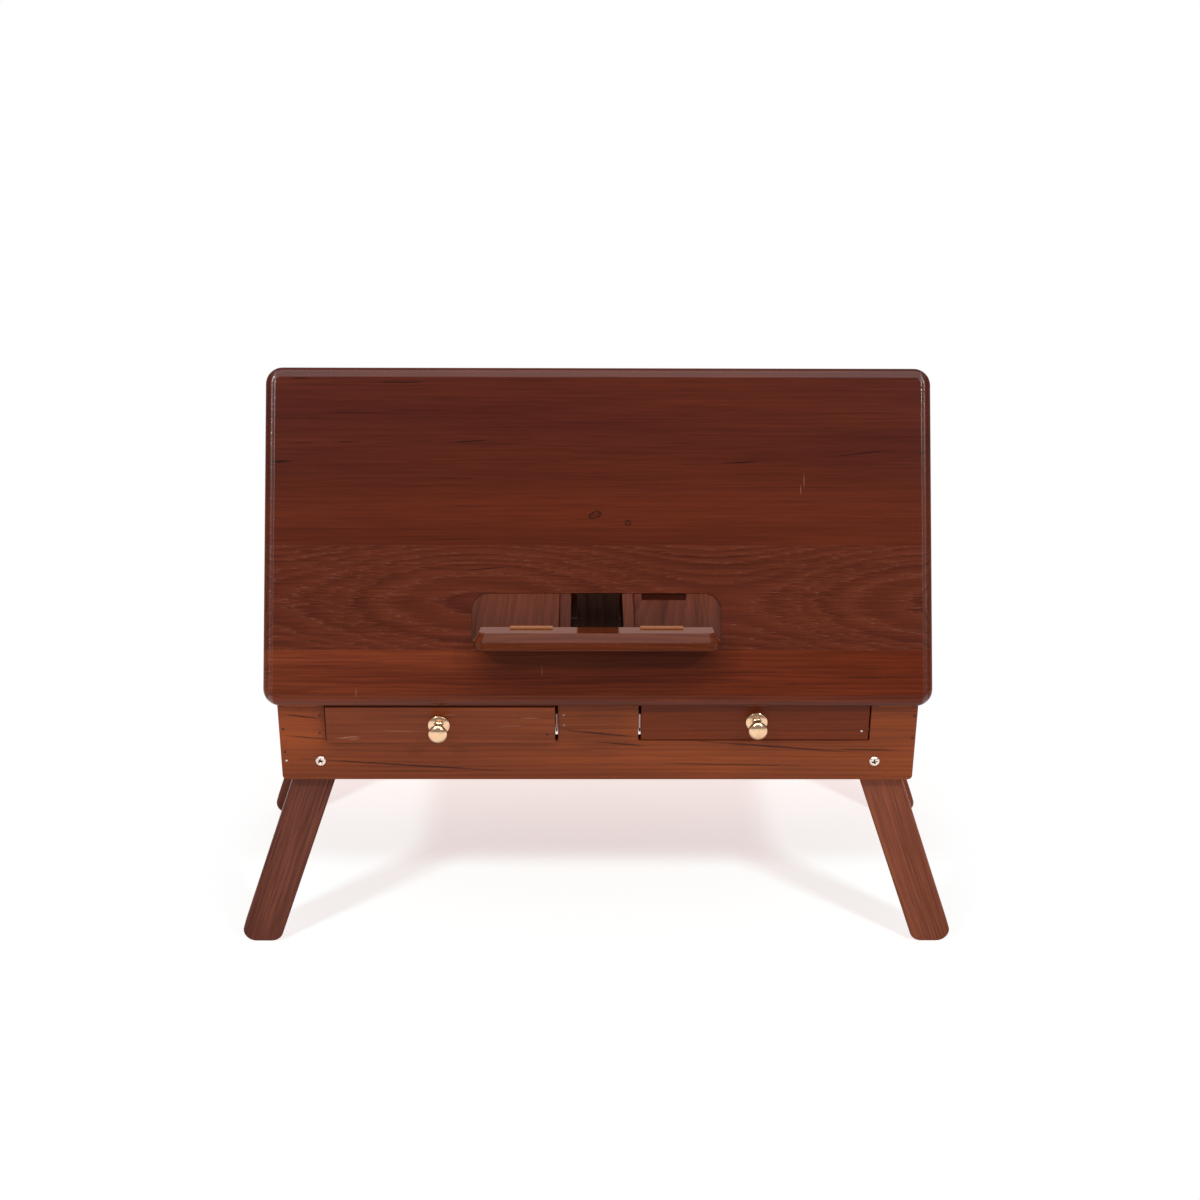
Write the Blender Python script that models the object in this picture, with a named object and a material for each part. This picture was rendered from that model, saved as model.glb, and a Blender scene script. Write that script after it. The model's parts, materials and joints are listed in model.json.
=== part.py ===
"""Folding lap desk: a drawer box on four folding legs, with a tilting lid and a book ledge.

Metres, +Z up, front towards -Y. The origin is on the floor, under the middle of the desk.
The desk is shown in use: legs out, lid propped, ledge open, left drawer a little ajar.
"""
import math

import bmesh
import bpy
from mathutils import Matrix, Vector

# Fits
FIT = 0.0003                 # gap between pieces that touch
SLACK = 0.0006               # running clearance of drawers and of the prop's foot
EASE = 0.0008                # eased arrises of the boards

# Facets of round shapes
KNOB_SIDES = 40
HEAD_STEPS = 16
SCREW_SIDES = 16
SMALL_SIDES = 12
CORNER_STEPS = 8
NUT_SIDES = 6

# Lid
LID_OVERHANG = 0.011         # past each side of the box
LID_FRONT_OVERHANG = 0.0029
LID_BACK_OVERHANG = 0.0337
LID_THICK = 0.015
LID_CORNER = 0.015
LID_TILT = math.radians(61.0)
LID_GAP = 0.0006             # between the closed lid and the top of the box
MOULD_WIDTH = 0.0080         # quarter-round edge
MOULD_STEP = 0.0008          # square step at its inner side
UNDER_EASE = 0.0020

# Cut-out and ledge flap
CUT_START = 0.0553           # from the lid's front edge
CUT_DEPTH = 0.0454
CUT_WIDTH = 0.2238
CUT_X = -0.0017              # middle of the cut-out, from the lid's middle
CUT_CORNER = 0.015
FLAP_END_GAP = 0.0030
FLAP_TOP_GAP = 0.0010
FLAP_CHAMFER = 0.0055        # across the flap's face
FLAP_CHAMFER_DEEP = 0.0078   # into its thickness
LEDGE_OPEN = math.radians(100.5)
LEDGE_LEAF_CLEAR = 0.0002    # between the leaf and the pin's plane
LEDGE_HINGE_X = 0.058        # from the middle of the cut-out
LEDGE_HINGE_WIDTH = 0.038
LEDGE_LEAF_THICK = 0.0008
LEDGE_LIP = 0.0125           # leaf turned over onto the flap's inner face
LEDGE_KNUCKLE_WALL = 0.0005
LEDGE_PIN_R = 0.0007
STOP_LENGTH = 0.0405
STOP_X = 0.061               # from the middle of the cut-out
STOP_REACH = 0.0054          # into the opening
STOP_GRIP = 0.016            # under the lid
STOP_THICK = 0.0060

# Box
BASE_WIDTH = 0.578
BASE_DEPTH = 0.268
BASE_HEIGHT = 0.080
BASE_RISE = 0.190            # floor to the underside of the boards
BOARD_THICK = 0.012
BOARD_CORNER = 0.004
SIDE_THICK = 0.009
DIVIDER_THICK = 0.011
GUIDE_THICK = 0.010
UPRIGHT_WIDTH = 0.042        # of the front board, outside the drawers
GUIDE_REBATE = 0.005         # carries the cover's outer edge
WELL_WIDTH = 0.051
WELL_FLOOR_THICK = 0.008
WELL_RISE = 0.0058           # underside of the well floor above the drawer shelf
WELL_NOTCH_DEEP = 0.0015
WELL_NOTCH_WIDTH = 0.006
WELL_NOTCH_PITCH = 0.022
WELL_NOTCHES = 5
INNER_DROP = 0.003           # dividers and guides below the top of the box
COVER_DROP = 0.0085
COVER_THICK = 0.005
CLEAT_WIDTH = 0.006
CLEAT_HEIGHT = 0.0045
SHELF_THICK = 0.0045         # board that carries the drawers

# Drawers
DRAWER_FRONT_SET = 0.001     # drawer front thinner than the front board
DRAWER_SIDE_THICK = 0.008
DRAWER_BOTTOM_THICK = 0.003
DRAWER_BACK_GAP = 0.0307     # behind a closed drawer
DRAWER_GAP_INNER = 0.0023
DRAWER_GAP_OUTER = 0.0012
DRAWER_AJAR = 0.006
CATCH_THICK = 0.0015
CATCH_HEIGHT = 0.018
CATCH_DROP = 0.0115          # below the top of the box
CATCH_SET_BACK = 0.0006

# Knobs
KNOB_ROSE_R = 0.0097
KNOB_ROSE_THICK = 0.0024
KNOB_ROSE_SHAPE = ((1.0, 0.4), (0.88, 0.8), (0.62, 1.0))   # shares of radius and thickness
KNOB_NECK_R = 0.0042
KNOB_NECK_RISE = 0.0030      # neck's root in front of the drawer
KNOB_WAIST_R = 0.0036
KNOB_HEAD_R = 0.0088
KNOB_DOME = 0.0042           # rise of the head's front
KNOB_BACK = 0.0052           # depth of the head's rounded back
KNOB_HEAD_OUT = 0.0160       # widest part of the head in front of the drawer
KNOB_SHIFT = 0.0013          # outwards from the drawer's middle
KNOB_SCREW_R = 0.0019
KNOB_SCREW_HEAD_R = 0.0040
KNOB_SCREW_HEAD_THICK = 0.0022
KNOB_BORE_DEEP = 0.0090

# Legs
LEG_WIDTH = 0.0374
LEG_THICK = 0.015
LEG_SPLAY = math.radians(19.0)
LEG_TUCK = 0.0013            # folded leg above the underside of the boards
LEG_HEADROOM = 0.0025        # above a folded leg
FOOT_ROUND = 0.012
PIVOT_R = 0.0020
PIVOT_HEAD_R = 0.0048
PIVOT_HEAD_THICK = 0.0022
PIVOT_SLOT = 0.0011
PIVOT_SLOT_LENGTH = 0.0056
PIVOT_SLOT_DEEP = 0.0010
NUT_R = 0.0040
NUT_THICK = 0.0032

# Lid hinges
LID_HINGE_WIDTH = 0.030
LID_LEAF_MARGIN = 0.0015     # wood behind the leaf in the front board
LID_LEAF_THICK = 0.0010
LID_LEAF_OFF = 0.0006        # leaf's face from the pin's axis
LID_KNUCKLE_WALL = 0.0007
LID_PIN_R = 0.0010
LID_PIN_FORWARD = 0.0012     # in front of the front board

# Prop
PROP_SIDE_ROOM = 0.00625     # between the prop and each divider
PROP_THICK = 0.010
PROP_LEAN = math.radians(56.27)   # below the horizontal, at rest
BRACKET_SET_BACK = 0.0011    # behind the cut-out
PROP_HANG = 0.0090           # pivot below the lid pin's plane
BRACKET_PLATE = 0.0020
BRACKET_LENGTH = 0.016
BRACKET_BELOW = 0.004        # cheeks below the pivot
PROP_PIN_R = 0.0020

HEAD_RIM = 0.35              # share of a screw head's thickness below its dome

# Places worked out from the sizes
LID_WIDTH = BASE_WIDTH + 2 * LID_OVERHANG
LID_DEPTH = BASE_DEPTH + LID_FRONT_OVERHANG + LID_BACK_OVERHANG
HALF = BASE_WIDTH / 2
NOTCH_IN = WELL_WIDTH / 2 + DIVIDER_THICK
NOTCH_OUT = HALF - UPRIGHT_WIDTH
LEG_PIVOT_RISE = LEG_WIDTH / 2 + LEG_TUCK
NOTCH_FLOOR = LEG_PIVOT_RISE + LEG_WIDTH / 2 + LEG_HEADROOM
INNER_FRONT = BOARD_THICK + FIT
INNER_BACK = BASE_DEPTH - BOARD_THICK - FIT
SIDE_INNER = HALF - SIDE_THICK
INNER_TOP = BASE_HEIGHT - INNER_DROP
INNER_LOW = NOTCH_FLOOR + FIT
DRAWER_FRONT_THICK = BOARD_THICK - DRAWER_FRONT_SET
DRAWER_DEPTH = INNER_BACK - DRAWER_BACK_GAP
COVER_TOP = BASE_HEIGHT - COVER_DROP
COVER_LOW = COVER_TOP - COVER_THICK
CLEAT_TOP = COVER_LOW - FIT
CLEAT_LOW = CLEAT_TOP - CLEAT_HEIGHT
WELL_TOP = NOTCH_FLOOR + WELL_RISE + WELL_FLOOR_THICK
CATCH_LOW = BASE_HEIGHT - CATCH_DROP - CATCH_HEIGHT
KNOB_OUT = KNOB_HEAD_OUT + KNOB_DOME
LEG_PIVOT_X = (SIDE_INNER - FIT - LEG_WIDTH / 2 / math.cos(LEG_SPLAY)
               - LEG_PIVOT_RISE * math.tan(LEG_SPLAY))
LEG_FRONT_Y = INNER_FRONT
LEG_REAR_Y = INNER_BACK - LEG_THICK
SHELF_FRONT = LEG_FRONT_Y + LEG_THICK + NUT_THICK + 2 * FIT
SHELF_BACK = BASE_DEPTH - SHELF_FRONT
LID_HINGE_X = (NOTCH_OUT + HALF) / 2
LID_LEAF_DEPTH = BOARD_THICK - LID_LEAF_MARGIN
LID_KNUCKLE_R = LID_PIN_R + FIT + LID_KNUCKLE_WALL
LID_FRONT = LID_PIN_FORWARD - LID_FRONT_OVERHANG
LID_LOW = LID_GAP / 2
LID_TOP = LID_LOW + LID_THICK
LID_PIN_Z = BASE_HEIGHT + LID_LOW
CUT_LOW = LID_FRONT + CUT_START
CUT_HIGH = CUT_LOW + CUT_DEPTH
LEDGE_GAP = 2 * (LEDGE_LEAF_THICK + LEDGE_LEAF_CLEAR + FIT)
LEDGE_KNUCKLE_R = LEDGE_PIN_R + FIT + LEDGE_KNUCKLE_WALL
LEDGE_PIN_Y = CUT_LOW + LEDGE_GAP / 2
LEDGE_PIN_DEEP = LEDGE_GAP / 2 * math.tan((math.pi - LEDGE_OPEN) / 2)
LEDGE_PIN_Z = LID_TOP - LEDGE_PIN_DEEP
FLAP_REACH = CUT_HIGH - FLAP_TOP_GAP - LEDGE_PIN_Y
LEDGE_SLOPE = LID_TILT + LEDGE_OPEN
LEDGE_FRONT = (LID_PIN_FORWARD - LEDGE_PIN_Y * math.cos(LID_TILT) + LEDGE_PIN_Z * math.sin(LID_TILT)
               - FLAP_REACH * math.cos(LEDGE_SLOPE) + (LEDGE_PIN_DEEP - EASE) * math.sin(LEDGE_SLOPE))
FRONT_Y = (max(LEDGE_FRONT, KNOB_OUT + DRAWER_AJAR) - BASE_DEPTH) / 2
PROP_WIDTH = WELL_WIDTH - 2 * PROP_SIDE_ROOM
PROP_REACH = CUT_HIGH + BRACKET_SET_BACK + BRACKET_LENGTH / 2
PROP_FOOT_Z = WELL_TOP - LID_PIN_Z + PROP_THICK / 2 + SLACK
PROP_PIVOT_Y = PROP_REACH * math.cos(LID_TILT) + PROP_HANG * math.sin(LID_TILT)
PROP_PIVOT_Z = PROP_REACH * math.sin(LID_TILT) - PROP_HANG * math.cos(LID_TILT)
PROP_LENGTH = (PROP_PIVOT_Z - PROP_FOOT_Z) / math.sin(PROP_LEAN)
PROP_FOOT_Y = PROP_PIVOT_Y + PROP_LENGTH * math.cos(PROP_LEAN)

desk_objects = {}
finishes = {}

FINISH_VALUES = {
    "teak_lid": ((0.120, 0.035, 0.016), 0.32, 0.0),
    "teak_frame": ((0.160, 0.055, 0.022), 0.40, 0.0),
    "teak_inner": ((0.150, 0.062, 0.032), 0.55, 0.0),
    "teak_leg": ((0.150, 0.050, 0.020), 0.42, 0.0),
    "brass": ((0.600, 0.370, 0.130), 0.25, 1.0),
    "steel": ((0.560, 0.560, 0.550), 0.30, 1.0),
}


def finish(name):
    """Plain surface finish, shared by the pieces made of it."""
    if name not in finishes:
        colour, roughness, metallic = FINISH_VALUES[name]
        made = bpy.data.materials.new(name)
        made.use_nodes = True
        shader = made.node_tree.nodes["Principled BSDF"]
        shader.inputs["Base Color"].default_value = (*colour, 1.0)
        shader.inputs["Roughness"].default_value = roughness
        shader.inputs["Metallic"].default_value = metallic
        finishes[name] = made
    return finishes[name]


def axis_empty(name, parent, location, turn=0.0):
    """Empty on a joint's axis; turn is about its X axis."""
    empty = bpy.data.objects.new(name, None)
    bpy.context.collection.objects.link(empty)
    empty.parent = parent
    empty.location = location
    empty.rotation_euler = (turn, 0.0, 0.0)
    return empty


def place(name, shape, parent):
    """Close a bmesh into an object under its parent."""
    bmesh.ops.recalc_face_normals(shape, faces=shape.faces)
    mesh = bpy.data.meshes.new(name)
    shape.to_mesh(mesh)
    shape.free()
    made = bpy.data.objects.new(name, mesh)
    bpy.context.collection.objects.link(made)
    made.parent = parent
    return made


def piece(name, shape, look, parent, smooth=False):
    """One named piece of the desk."""
    made = place(name, shape, parent)
    made.data.materials.append(finish(look))
    if smooth:
        made.data.shade_smooth()
        made.data.set_sharp_from_angle(angle=math.radians(40))
    desk_objects[name] = made
    return made


def tool(name, shape, target, operation, frame):
    """Cut a shape out of a piece, or join one to it. frame is the empty that the shape is measured from."""
    made = place(name, shape, frame or target.parent)
    made.hide_render = True
    made.display_type = "WIRE"
    step = target.modifiers.new(name, "BOOLEAN")
    step.operation = operation
    step.solver = "EXACT"
    step.object = made


def cut(target, shape, name, frame=None):
    tool(target.name + "_" + name, shape, target, "DIFFERENCE", frame)


def join(target, shape, name):
    tool(target.name + "_" + name, shape, target, "UNION", None)


def add_box(shape, low, high, ease=0.0):
    """Box between two corners, with eased edges."""
    low = Vector(low)
    high = Vector(high)
    size = high - low
    frame = Matrix.Translation((low + high) / 2) @ Matrix.Diagonal((*size, 1.0))
    verts = bmesh.ops.create_cube(shape, size=1.0, matrix=frame)["verts"]
    if ease > 0.0:
        edges = list({edge for vert in verts for edge in vert.link_edges})
        bmesh.ops.bevel(shape, geom=edges, offset=ease, segments=1, affect="EDGES", profile=0.5)


def add_rod(shape, start, axis, length, radius, sides=SCREW_SIDES):
    """Round bar from a point along an axis."""
    axis = Vector(axis).normalized()
    middle = Vector(start) + axis * length / 2
    frame = Matrix.Translation(middle) @ axis.to_track_quat("Z", "Y").to_matrix().to_4x4()
    bmesh.ops.create_cone(shape, cap_ends=True, segments=sides, radius1=radius, radius2=radius,
                          depth=length, matrix=frame)


def add_prism(shape, loop, along):
    """Flat outline, pulled along a vector."""
    face = shape.faces.new([shape.verts.new(point) for point in loop])
    pulled = bmesh.ops.extrude_face_region(shape, geom=[face])["geom"]
    moved = [item for item in pulled if isinstance(item, bmesh.types.BMVert)]
    bmesh.ops.translate(shape, verts=moved, vec=along)


def add_turned(shape, profile, start, axis, steps):
    """Turned body: (radius, height) points along an axis, closed at its own ends or into a ring."""
    axis = Vector(axis).normalized()
    across = axis.orthogonal().normalized()
    start = Vector(start)
    verts = [shape.verts.new(start + across * radius + axis * height) for radius, height in profile]
    pairs = list(zip(verts, verts[1:]))
    if profile[0][0] > 0.0:
        pairs.append((verts[-1], verts[0]))
    edges = [shape.edges.new(pair) for pair in pairs]
    bmesh.ops.spin(shape, geom=verts + edges, cent=start, axis=axis, angle=2 * math.pi,
                   steps=steps, use_merge=True, use_duplicate=False)
    bmesh.ops.remove_doubles(shape, verts=shape.verts, dist=1e-6)


def rounded(corners, radii, steps=CORNER_STEPS):
    """Outline with each corner replaced by an arc of its own radius."""
    outline = []
    for index, corner in enumerate(corners):
        corner = Vector(corner)
        radius = radii[index]
        if radius <= 0.0:
            outline.append(tuple(corner))
            continue
        back = (Vector(corners[index - 1]) - corner).normalized()
        ahead = (Vector(corners[(index + 1) % len(corners)]) - corner).normalized()
        half = back.angle(ahead) / 2
        centre = corner + (back + ahead).normalized() * radius / math.sin(half)
        first = corner + back * radius / math.tan(half) - centre
        sweep = math.pi - 2 * half
        turn = 1.0 if back.cross(ahead) < 0.0 else -1.0
        for step in range(steps + 1):
            angle = turn * sweep * step / steps
            spin = Matrix.Rotation(angle, 2)
            outline.append(tuple(centre + spin @ first))
    return outline


def arc(radius, start, sweep, steps):
    """Points of an arc about the origin."""
    angles = [start + sweep * step / steps for step in range(steps + 1)]
    return [(radius * math.cos(angle), radius * math.sin(angle)) for angle in angles]


def rectangle(low_a, low_b, high_a, high_b):
    return [(low_a, low_b), (high_a, low_b), (high_a, high_b), (low_a, high_b)]


def arc_height(share, radius):
    return radius * math.sin(share * math.pi / 2)


def arc_run(share, radius):
    return radius * (1.0 - math.cos(share * math.pi / 2))


def board(name, low, high, look, parent):
    shape = bmesh.new()
    add_box(shape, low, high, EASE)
    return piece(name, shape, look, parent)


def mirrored(side, inner, outer):
    """X range on one side of the middle."""
    return (inner, outer) if side > 0 else (-outer, -inner)


def side_board(name, side, inner, outer, y_range, z_range, look, parent):
    low_x, high_x = mirrored(side, inner, outer)
    return board(name, (low_x, y_range[0], z_range[0]), (high_x, y_range[1], z_range[1]), look, parent)


SIDES = {"left": -1, "right": 1}
ENDS = ("front", "rear")


def facing(end):
    """Outer face's y and the direction into the box."""
    return (0.0, 1.0) if end == "front" else (BASE_DEPTH, -1.0)


def make_boards(desk):
    """Front board with drawer notches, back board, sides, dividers and guides."""
    corners = [(-HALF, 0.0), (HALF, 0.0), (HALF, BASE_HEIGHT),
               (NOTCH_OUT, BASE_HEIGHT), (NOTCH_OUT, NOTCH_FLOOR),
               (NOTCH_IN, NOTCH_FLOOR), (NOTCH_IN, BASE_HEIGHT),
               (-NOTCH_IN, BASE_HEIGHT), (-NOTCH_IN, NOTCH_FLOOR),
               (-NOTCH_OUT, NOTCH_FLOOR), (-NOTCH_OUT, BASE_HEIGHT), (-HALF, BASE_HEIGHT)]
    radii = [BOARD_CORNER, BOARD_CORNER] + [0.0] * 10
    shape = bmesh.new()
    add_prism(shape, [(x, 0.0, z) for x, z in rounded(corners, radii)], (0.0, BOARD_THICK, 0.0))
    piece("front_board", shape, "teak_frame", desk)
    board("back_board", (-HALF, BASE_DEPTH - BOARD_THICK, 0.0), (HALF, BASE_DEPTH, BASE_HEIGHT),
          "teak_frame", desk)
    run = (INNER_FRONT, INNER_BACK)
    for word, side in SIDES.items():
        side_board(word + "_side_board", side, SIDE_INNER, HALF, run, (0.0, BASE_HEIGHT),
                   "teak_frame", desk)
        side_board(word + "_divider", side, WELL_WIDTH / 2, NOTCH_IN, run, (INNER_LOW, INNER_TOP),
                   "teak_inner", desk)
        guide_in = NOTCH_OUT + FIT
        rebate = guide_in + GUIDE_REBATE
        outline = [(guide_in, INNER_LOW), (guide_in + GUIDE_THICK, INNER_LOW),
                   (guide_in + GUIDE_THICK, INNER_TOP), (rebate, INNER_TOP),
                   (rebate, CLEAT_TOP), (guide_in, CLEAT_TOP)]
        guide = bmesh.new()
        add_prism(guide, [(side * x, run[0], z) for x, z in outline], (0.0, run[1] - run[0], 0.0))
        piece(word + "_guide", guide, "teak_inner", desk)
        cover_in = NOTCH_IN + FIT
        side_board(word + "_cover", side, cover_in, rebate - FIT, run, (COVER_LOW, COVER_TOP),
                   "teak_inner", desk)
        side_board(word + "_cover_cleat", side, cover_in, cover_in + CLEAT_WIDTH, run,
                   (CLEAT_LOW, CLEAT_TOP), "teak_inner", desk)
    shelf_half = NOTCH_OUT + FIT + GUIDE_THICK
    board("drawer_shelf", (-shelf_half, SHELF_FRONT, NOTCH_FLOOR - SHELF_THICK),
          (shelf_half, SHELF_BACK, NOTCH_FLOOR), "teak_inner", desk)


def make_well(desk):
    """Floor of the central well, with shallow notches for the prop's foot."""
    half = WELL_WIDTH / 2 - FIT
    well = board("well_floor", (-half, INNER_FRONT, WELL_TOP - WELL_FLOOR_THICK),
                 (half, INNER_BACK, WELL_TOP), "teak_inner", desk)
    notches = bmesh.new()
    first = PROP_FOOT_Y - LID_PIN_FORWARD
    for index in range(WELL_NOTCHES):
        y = first + index * WELL_NOTCH_PITCH
        loop = [(-half - FIT, y - WELL_NOTCH_WIDTH / 2, WELL_TOP + FIT),
                (-half - FIT, y + WELL_NOTCH_WIDTH / 2, WELL_TOP + FIT),
                (-half - FIT, y, WELL_TOP - WELL_NOTCH_DEEP)]
        add_prism(notches, loop, (2 * (half + FIT), 0.0, 0.0))
    cut(well, notches, "notches")


def make_catch_plates(desk):
    """Thin steel plates in the inner side gaps of the drawers."""
    for word, side in SIDES.items():
        low_x, high_x = mirrored(side, NOTCH_IN + FIT, NOTCH_IN + FIT + CATCH_THICK)
        plate = bmesh.new()
        add_box(plate, (low_x, CATCH_SET_BACK, CATCH_LOW), (high_x, BOARD_THICK, CATCH_LOW + CATCH_HEIGHT))
        piece(word + "_catch_plate", plate, "steel", desk)


def dome_head(radius, thick):
    """Low domed screw head, from its seat outwards."""
    rim = HEAD_RIM * thick
    angles = [math.pi / 2 * step / 3 for step in range(3)]
    dome = [(radius * math.cos(angle), rim + (thick - rim) * math.sin(angle)) for angle in angles]
    return dome + [(0.0, thick)]


def make_leg_pivots(desk):
    """Cross-slotted pivot screws, each with a nut behind its leg."""
    reach = BOARD_THICK + LEG_THICK + NUT_THICK + 3 * FIT
    ring_r = PIVOT_R + FIT
    arm = PIVOT_SLOT_LENGTH / 2
    bar = PIVOT_SLOT / 2
    cross = [(-arm, -bar), (-bar, -bar), (-bar, -arm), (bar, -arm), (bar, -bar), (arm, -bar),
             (arm, bar), (bar, bar), (bar, arm), (-bar, arm), (-bar, bar), (-arm, bar)]
    for end in ENDS:
        face, inward = facing(end)
        holes = bmesh.new()
        for word, side in SIDES.items():
            x = side * LEG_PIVOT_X
            along = (0.0, inward, 0.0)
            outward = (0.0, -inward, 0.0)
            seat = Vector((x, face - inward * FIT, LEG_PIVOT_RISE))
            screw = bmesh.new()
            profile = [(0.0, -reach), (PIVOT_R, -reach), (PIVOT_R, 0.0), (PIVOT_HEAD_R, 0.0)]
            add_turned(screw, profile + dome_head(PIVOT_HEAD_R, PIVOT_HEAD_THICK), seat, outward,
                       SCREW_SIDES)
            made = piece(end + "_" + word + "_pivot_screw", screw, "steel", desk, smooth=True)
            slot = bmesh.new()
            slot_y = seat.y - inward * (PIVOT_HEAD_THICK - PIVOT_SLOT_DEEP)
            add_prism(slot, [(x + a, slot_y, LEG_PIVOT_RISE + b) for a, b in cross],
                      (0.0, -inward * 2 * PIVOT_SLOT_DEEP, 0.0))
            cut(made, slot, "cross_slot")
            add_rod(holes, (x, face - inward * BOARD_THICK, LEG_PIVOT_RISE), along, 3 * BOARD_THICK, ring_r)
            nut = bmesh.new()
            nut_y = face + inward * (BOARD_THICK + LEG_THICK + 2 * FIT)
            ring = [(ring_r, 0.0), (ring_r, NUT_THICK), (NUT_R, NUT_THICK), (NUT_R, 0.0)]
            add_turned(nut, ring, (x, nut_y, LEG_PIVOT_RISE), along, NUT_SIDES)
            piece(end + "_" + word + "_pivot_nut", nut, "steel", desk)
        cut(desk_objects["front_board" if end == "front" else "back_board"], holes, "pivot_holes")


def make_legs(desk):
    """Splayed legs with a round top about the pivot and a flat, round-cornered foot."""
    drop = BASE_RISE + LEG_PIVOT_RISE
    lean = math.tan(LEG_SPLAY)
    flat = LEG_WIDTH / 2 / math.cos(LEG_SPLAY)
    top = arc(LEG_WIDTH / 2, LEG_SPLAY, math.pi, 2 * CORNER_STEPS)
    corners = [(drop * lean - flat, -drop), (drop * lean + flat, -drop)] + top
    outline = rounded(corners, [FOOT_ROUND, FOOT_ROUND] + [0.0] * len(top))
    for end in ENDS:
        y = LEG_FRONT_Y if end == "front" else LEG_REAR_Y
        for word, side in SIDES.items():
            pivot = axis_empty(end + "_" + word + "_leg_axis", desk, (side * LEG_PIVOT_X, y, LEG_PIVOT_RISE))
            shape = bmesh.new()
            add_prism(shape, [(side * a, 0.0, b) for a, b in outline], (0.0, LEG_THICK, 0.0))
            edges = [edge for edge in shape.edges if abs(edge.verts[0].co.y - edge.verts[1].co.y) < FIT]
            bmesh.ops.bevel(shape, geom=edges, offset=EASE, segments=1, affect="EDGES", profile=0.5)
            made = piece(end + "_" + word + "_leg", shape, "teak_leg", pivot)
            hole = bmesh.new()
            add_rod(hole, (0.0, -LEG_THICK, 0.0), (0.0, 1.0, 0.0), 3 * LEG_THICK, PIVOT_R + FIT)
            cut(made, hole, "pivot_hole")


def knob_profile():
    """Rosette, neck and domed head of a turned knob, outwards from the drawer's face."""
    start = math.asin(KNOB_NECK_R / KNOB_HEAD_R)
    neck_end = KNOB_HEAD_OUT - KNOB_BACK * math.cos(start)
    rose = [(0.0, FIT), (KNOB_ROSE_R, FIT)]
    rose += [(KNOB_ROSE_R * wide, KNOB_ROSE_THICK * high) for wide, high in KNOB_ROSE_SHAPE]
    neck = [(KNOB_NECK_R, KNOB_NECK_RISE), (KNOB_WAIST_R, (KNOB_NECK_RISE + neck_end) / 2)]
    head = []
    for step in range(HEAD_STEPS):
        angle = start + (math.pi - start) * step / HEAD_STEPS
        rise = KNOB_BACK if angle < math.pi / 2 else KNOB_DOME
        head.append((KNOB_HEAD_R * math.sin(angle), KNOB_HEAD_OUT - rise * math.cos(angle)))
    return rose + neck + head + [(0.0, KNOB_OUT)]


def make_drawer(word, side, desk):
    """One drawer: front, two sides, back, bottom, knob and knob screw."""
    ajar = DRAWER_AJAR if word == "left" else 0.0
    slide = axis_empty(word + "_drawer_slide", desk, (0.0, -ajar, 0.0))
    low = INNER_LOW
    front_low = NOTCH_FLOOR + SLACK
    front_top = BASE_HEIGHT - SLACK
    inner = NOTCH_IN + DRAWER_GAP_INNER
    outer = NOTCH_OUT - DRAWER_GAP_OUTER
    box_top = CLEAT_LOW - SLACK
    wall_low = low + DRAWER_BOTTOM_THICK + FIT
    behind = DRAWER_FRONT_THICK + FIT
    name = word + "_drawer_"
    front = side_board(name + "front", side, inner, outer, (0.0, DRAWER_FRONT_THICK),
                       (front_low, front_top), "teak_frame", slide)
    run = (behind, DRAWER_DEPTH)
    walls = {"inner_side": (inner, inner + DRAWER_SIDE_THICK),
             "outer_side": (outer - DRAWER_SIDE_THICK, outer)}
    for label, (wall_in, wall_out) in walls.items():
        side_board(name + label, side, wall_in, wall_out, run, (wall_low, box_top), "teak_inner", slide)
    between = (inner + DRAWER_SIDE_THICK + FIT, outer - DRAWER_SIDE_THICK - FIT)
    side_board(name + "back", side, *between, (DRAWER_DEPTH - DRAWER_SIDE_THICK, DRAWER_DEPTH),
               (wall_low, box_top), "teak_inner", slide)
    side_board(name + "bottom", side, inner, outer, run, (low, low + DRAWER_BOTTOM_THICK),
               "teak_inner", slide)

    middle = (side * ((inner + outer) / 2 + KNOB_SHIFT), 0.0, (front_low + front_top) / 2)
    knob = bmesh.new()
    add_turned(knob, knob_profile(), middle, (0.0, -1.0, 0.0), KNOB_SIDES)
    made = piece(word + "_knob", knob, "brass", slide, smooth=True)
    screw = bmesh.new()
    reach = DRAWER_FRONT_THICK + KNOB_BORE_DEEP
    seat = Vector(middle) + Vector((0.0, DRAWER_FRONT_THICK + FIT, 0.0))
    profile = [(0.0, -reach), (KNOB_SCREW_R, -reach), (KNOB_SCREW_R, 0.0), (KNOB_SCREW_HEAD_R, 0.0)]
    profile += dome_head(KNOB_SCREW_HEAD_R, KNOB_SCREW_HEAD_THICK)
    add_turned(screw, profile, seat, (0.0, 1.0, 0.0), SMALL_SIDES)
    piece(word + "_knob_screw", screw, "steel", slide, smooth=True)
    for target in (made, front):
        hole = bmesh.new()
        tip = Vector(middle) + Vector((0.0, -KNOB_BORE_DEEP, 0.0))
        add_rod(hole, tip, (0.0, 1.0, 0.0), KNOB_BORE_DEEP + 2 * DRAWER_FRONT_THICK, KNOB_SCREW_R + FIT,
                SMALL_SIDES)
        cut(target, hole, "screw_hole")


THIRDS = ((0.0, 1 / 3), (1 / 3, 2 / 3), (2 / 3, 1.0))
OUTER_KNUCKLES = (THIRDS[0], THIRDS[2])
MIDDLE_KNUCKLE = (THIRDS[1],)


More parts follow.
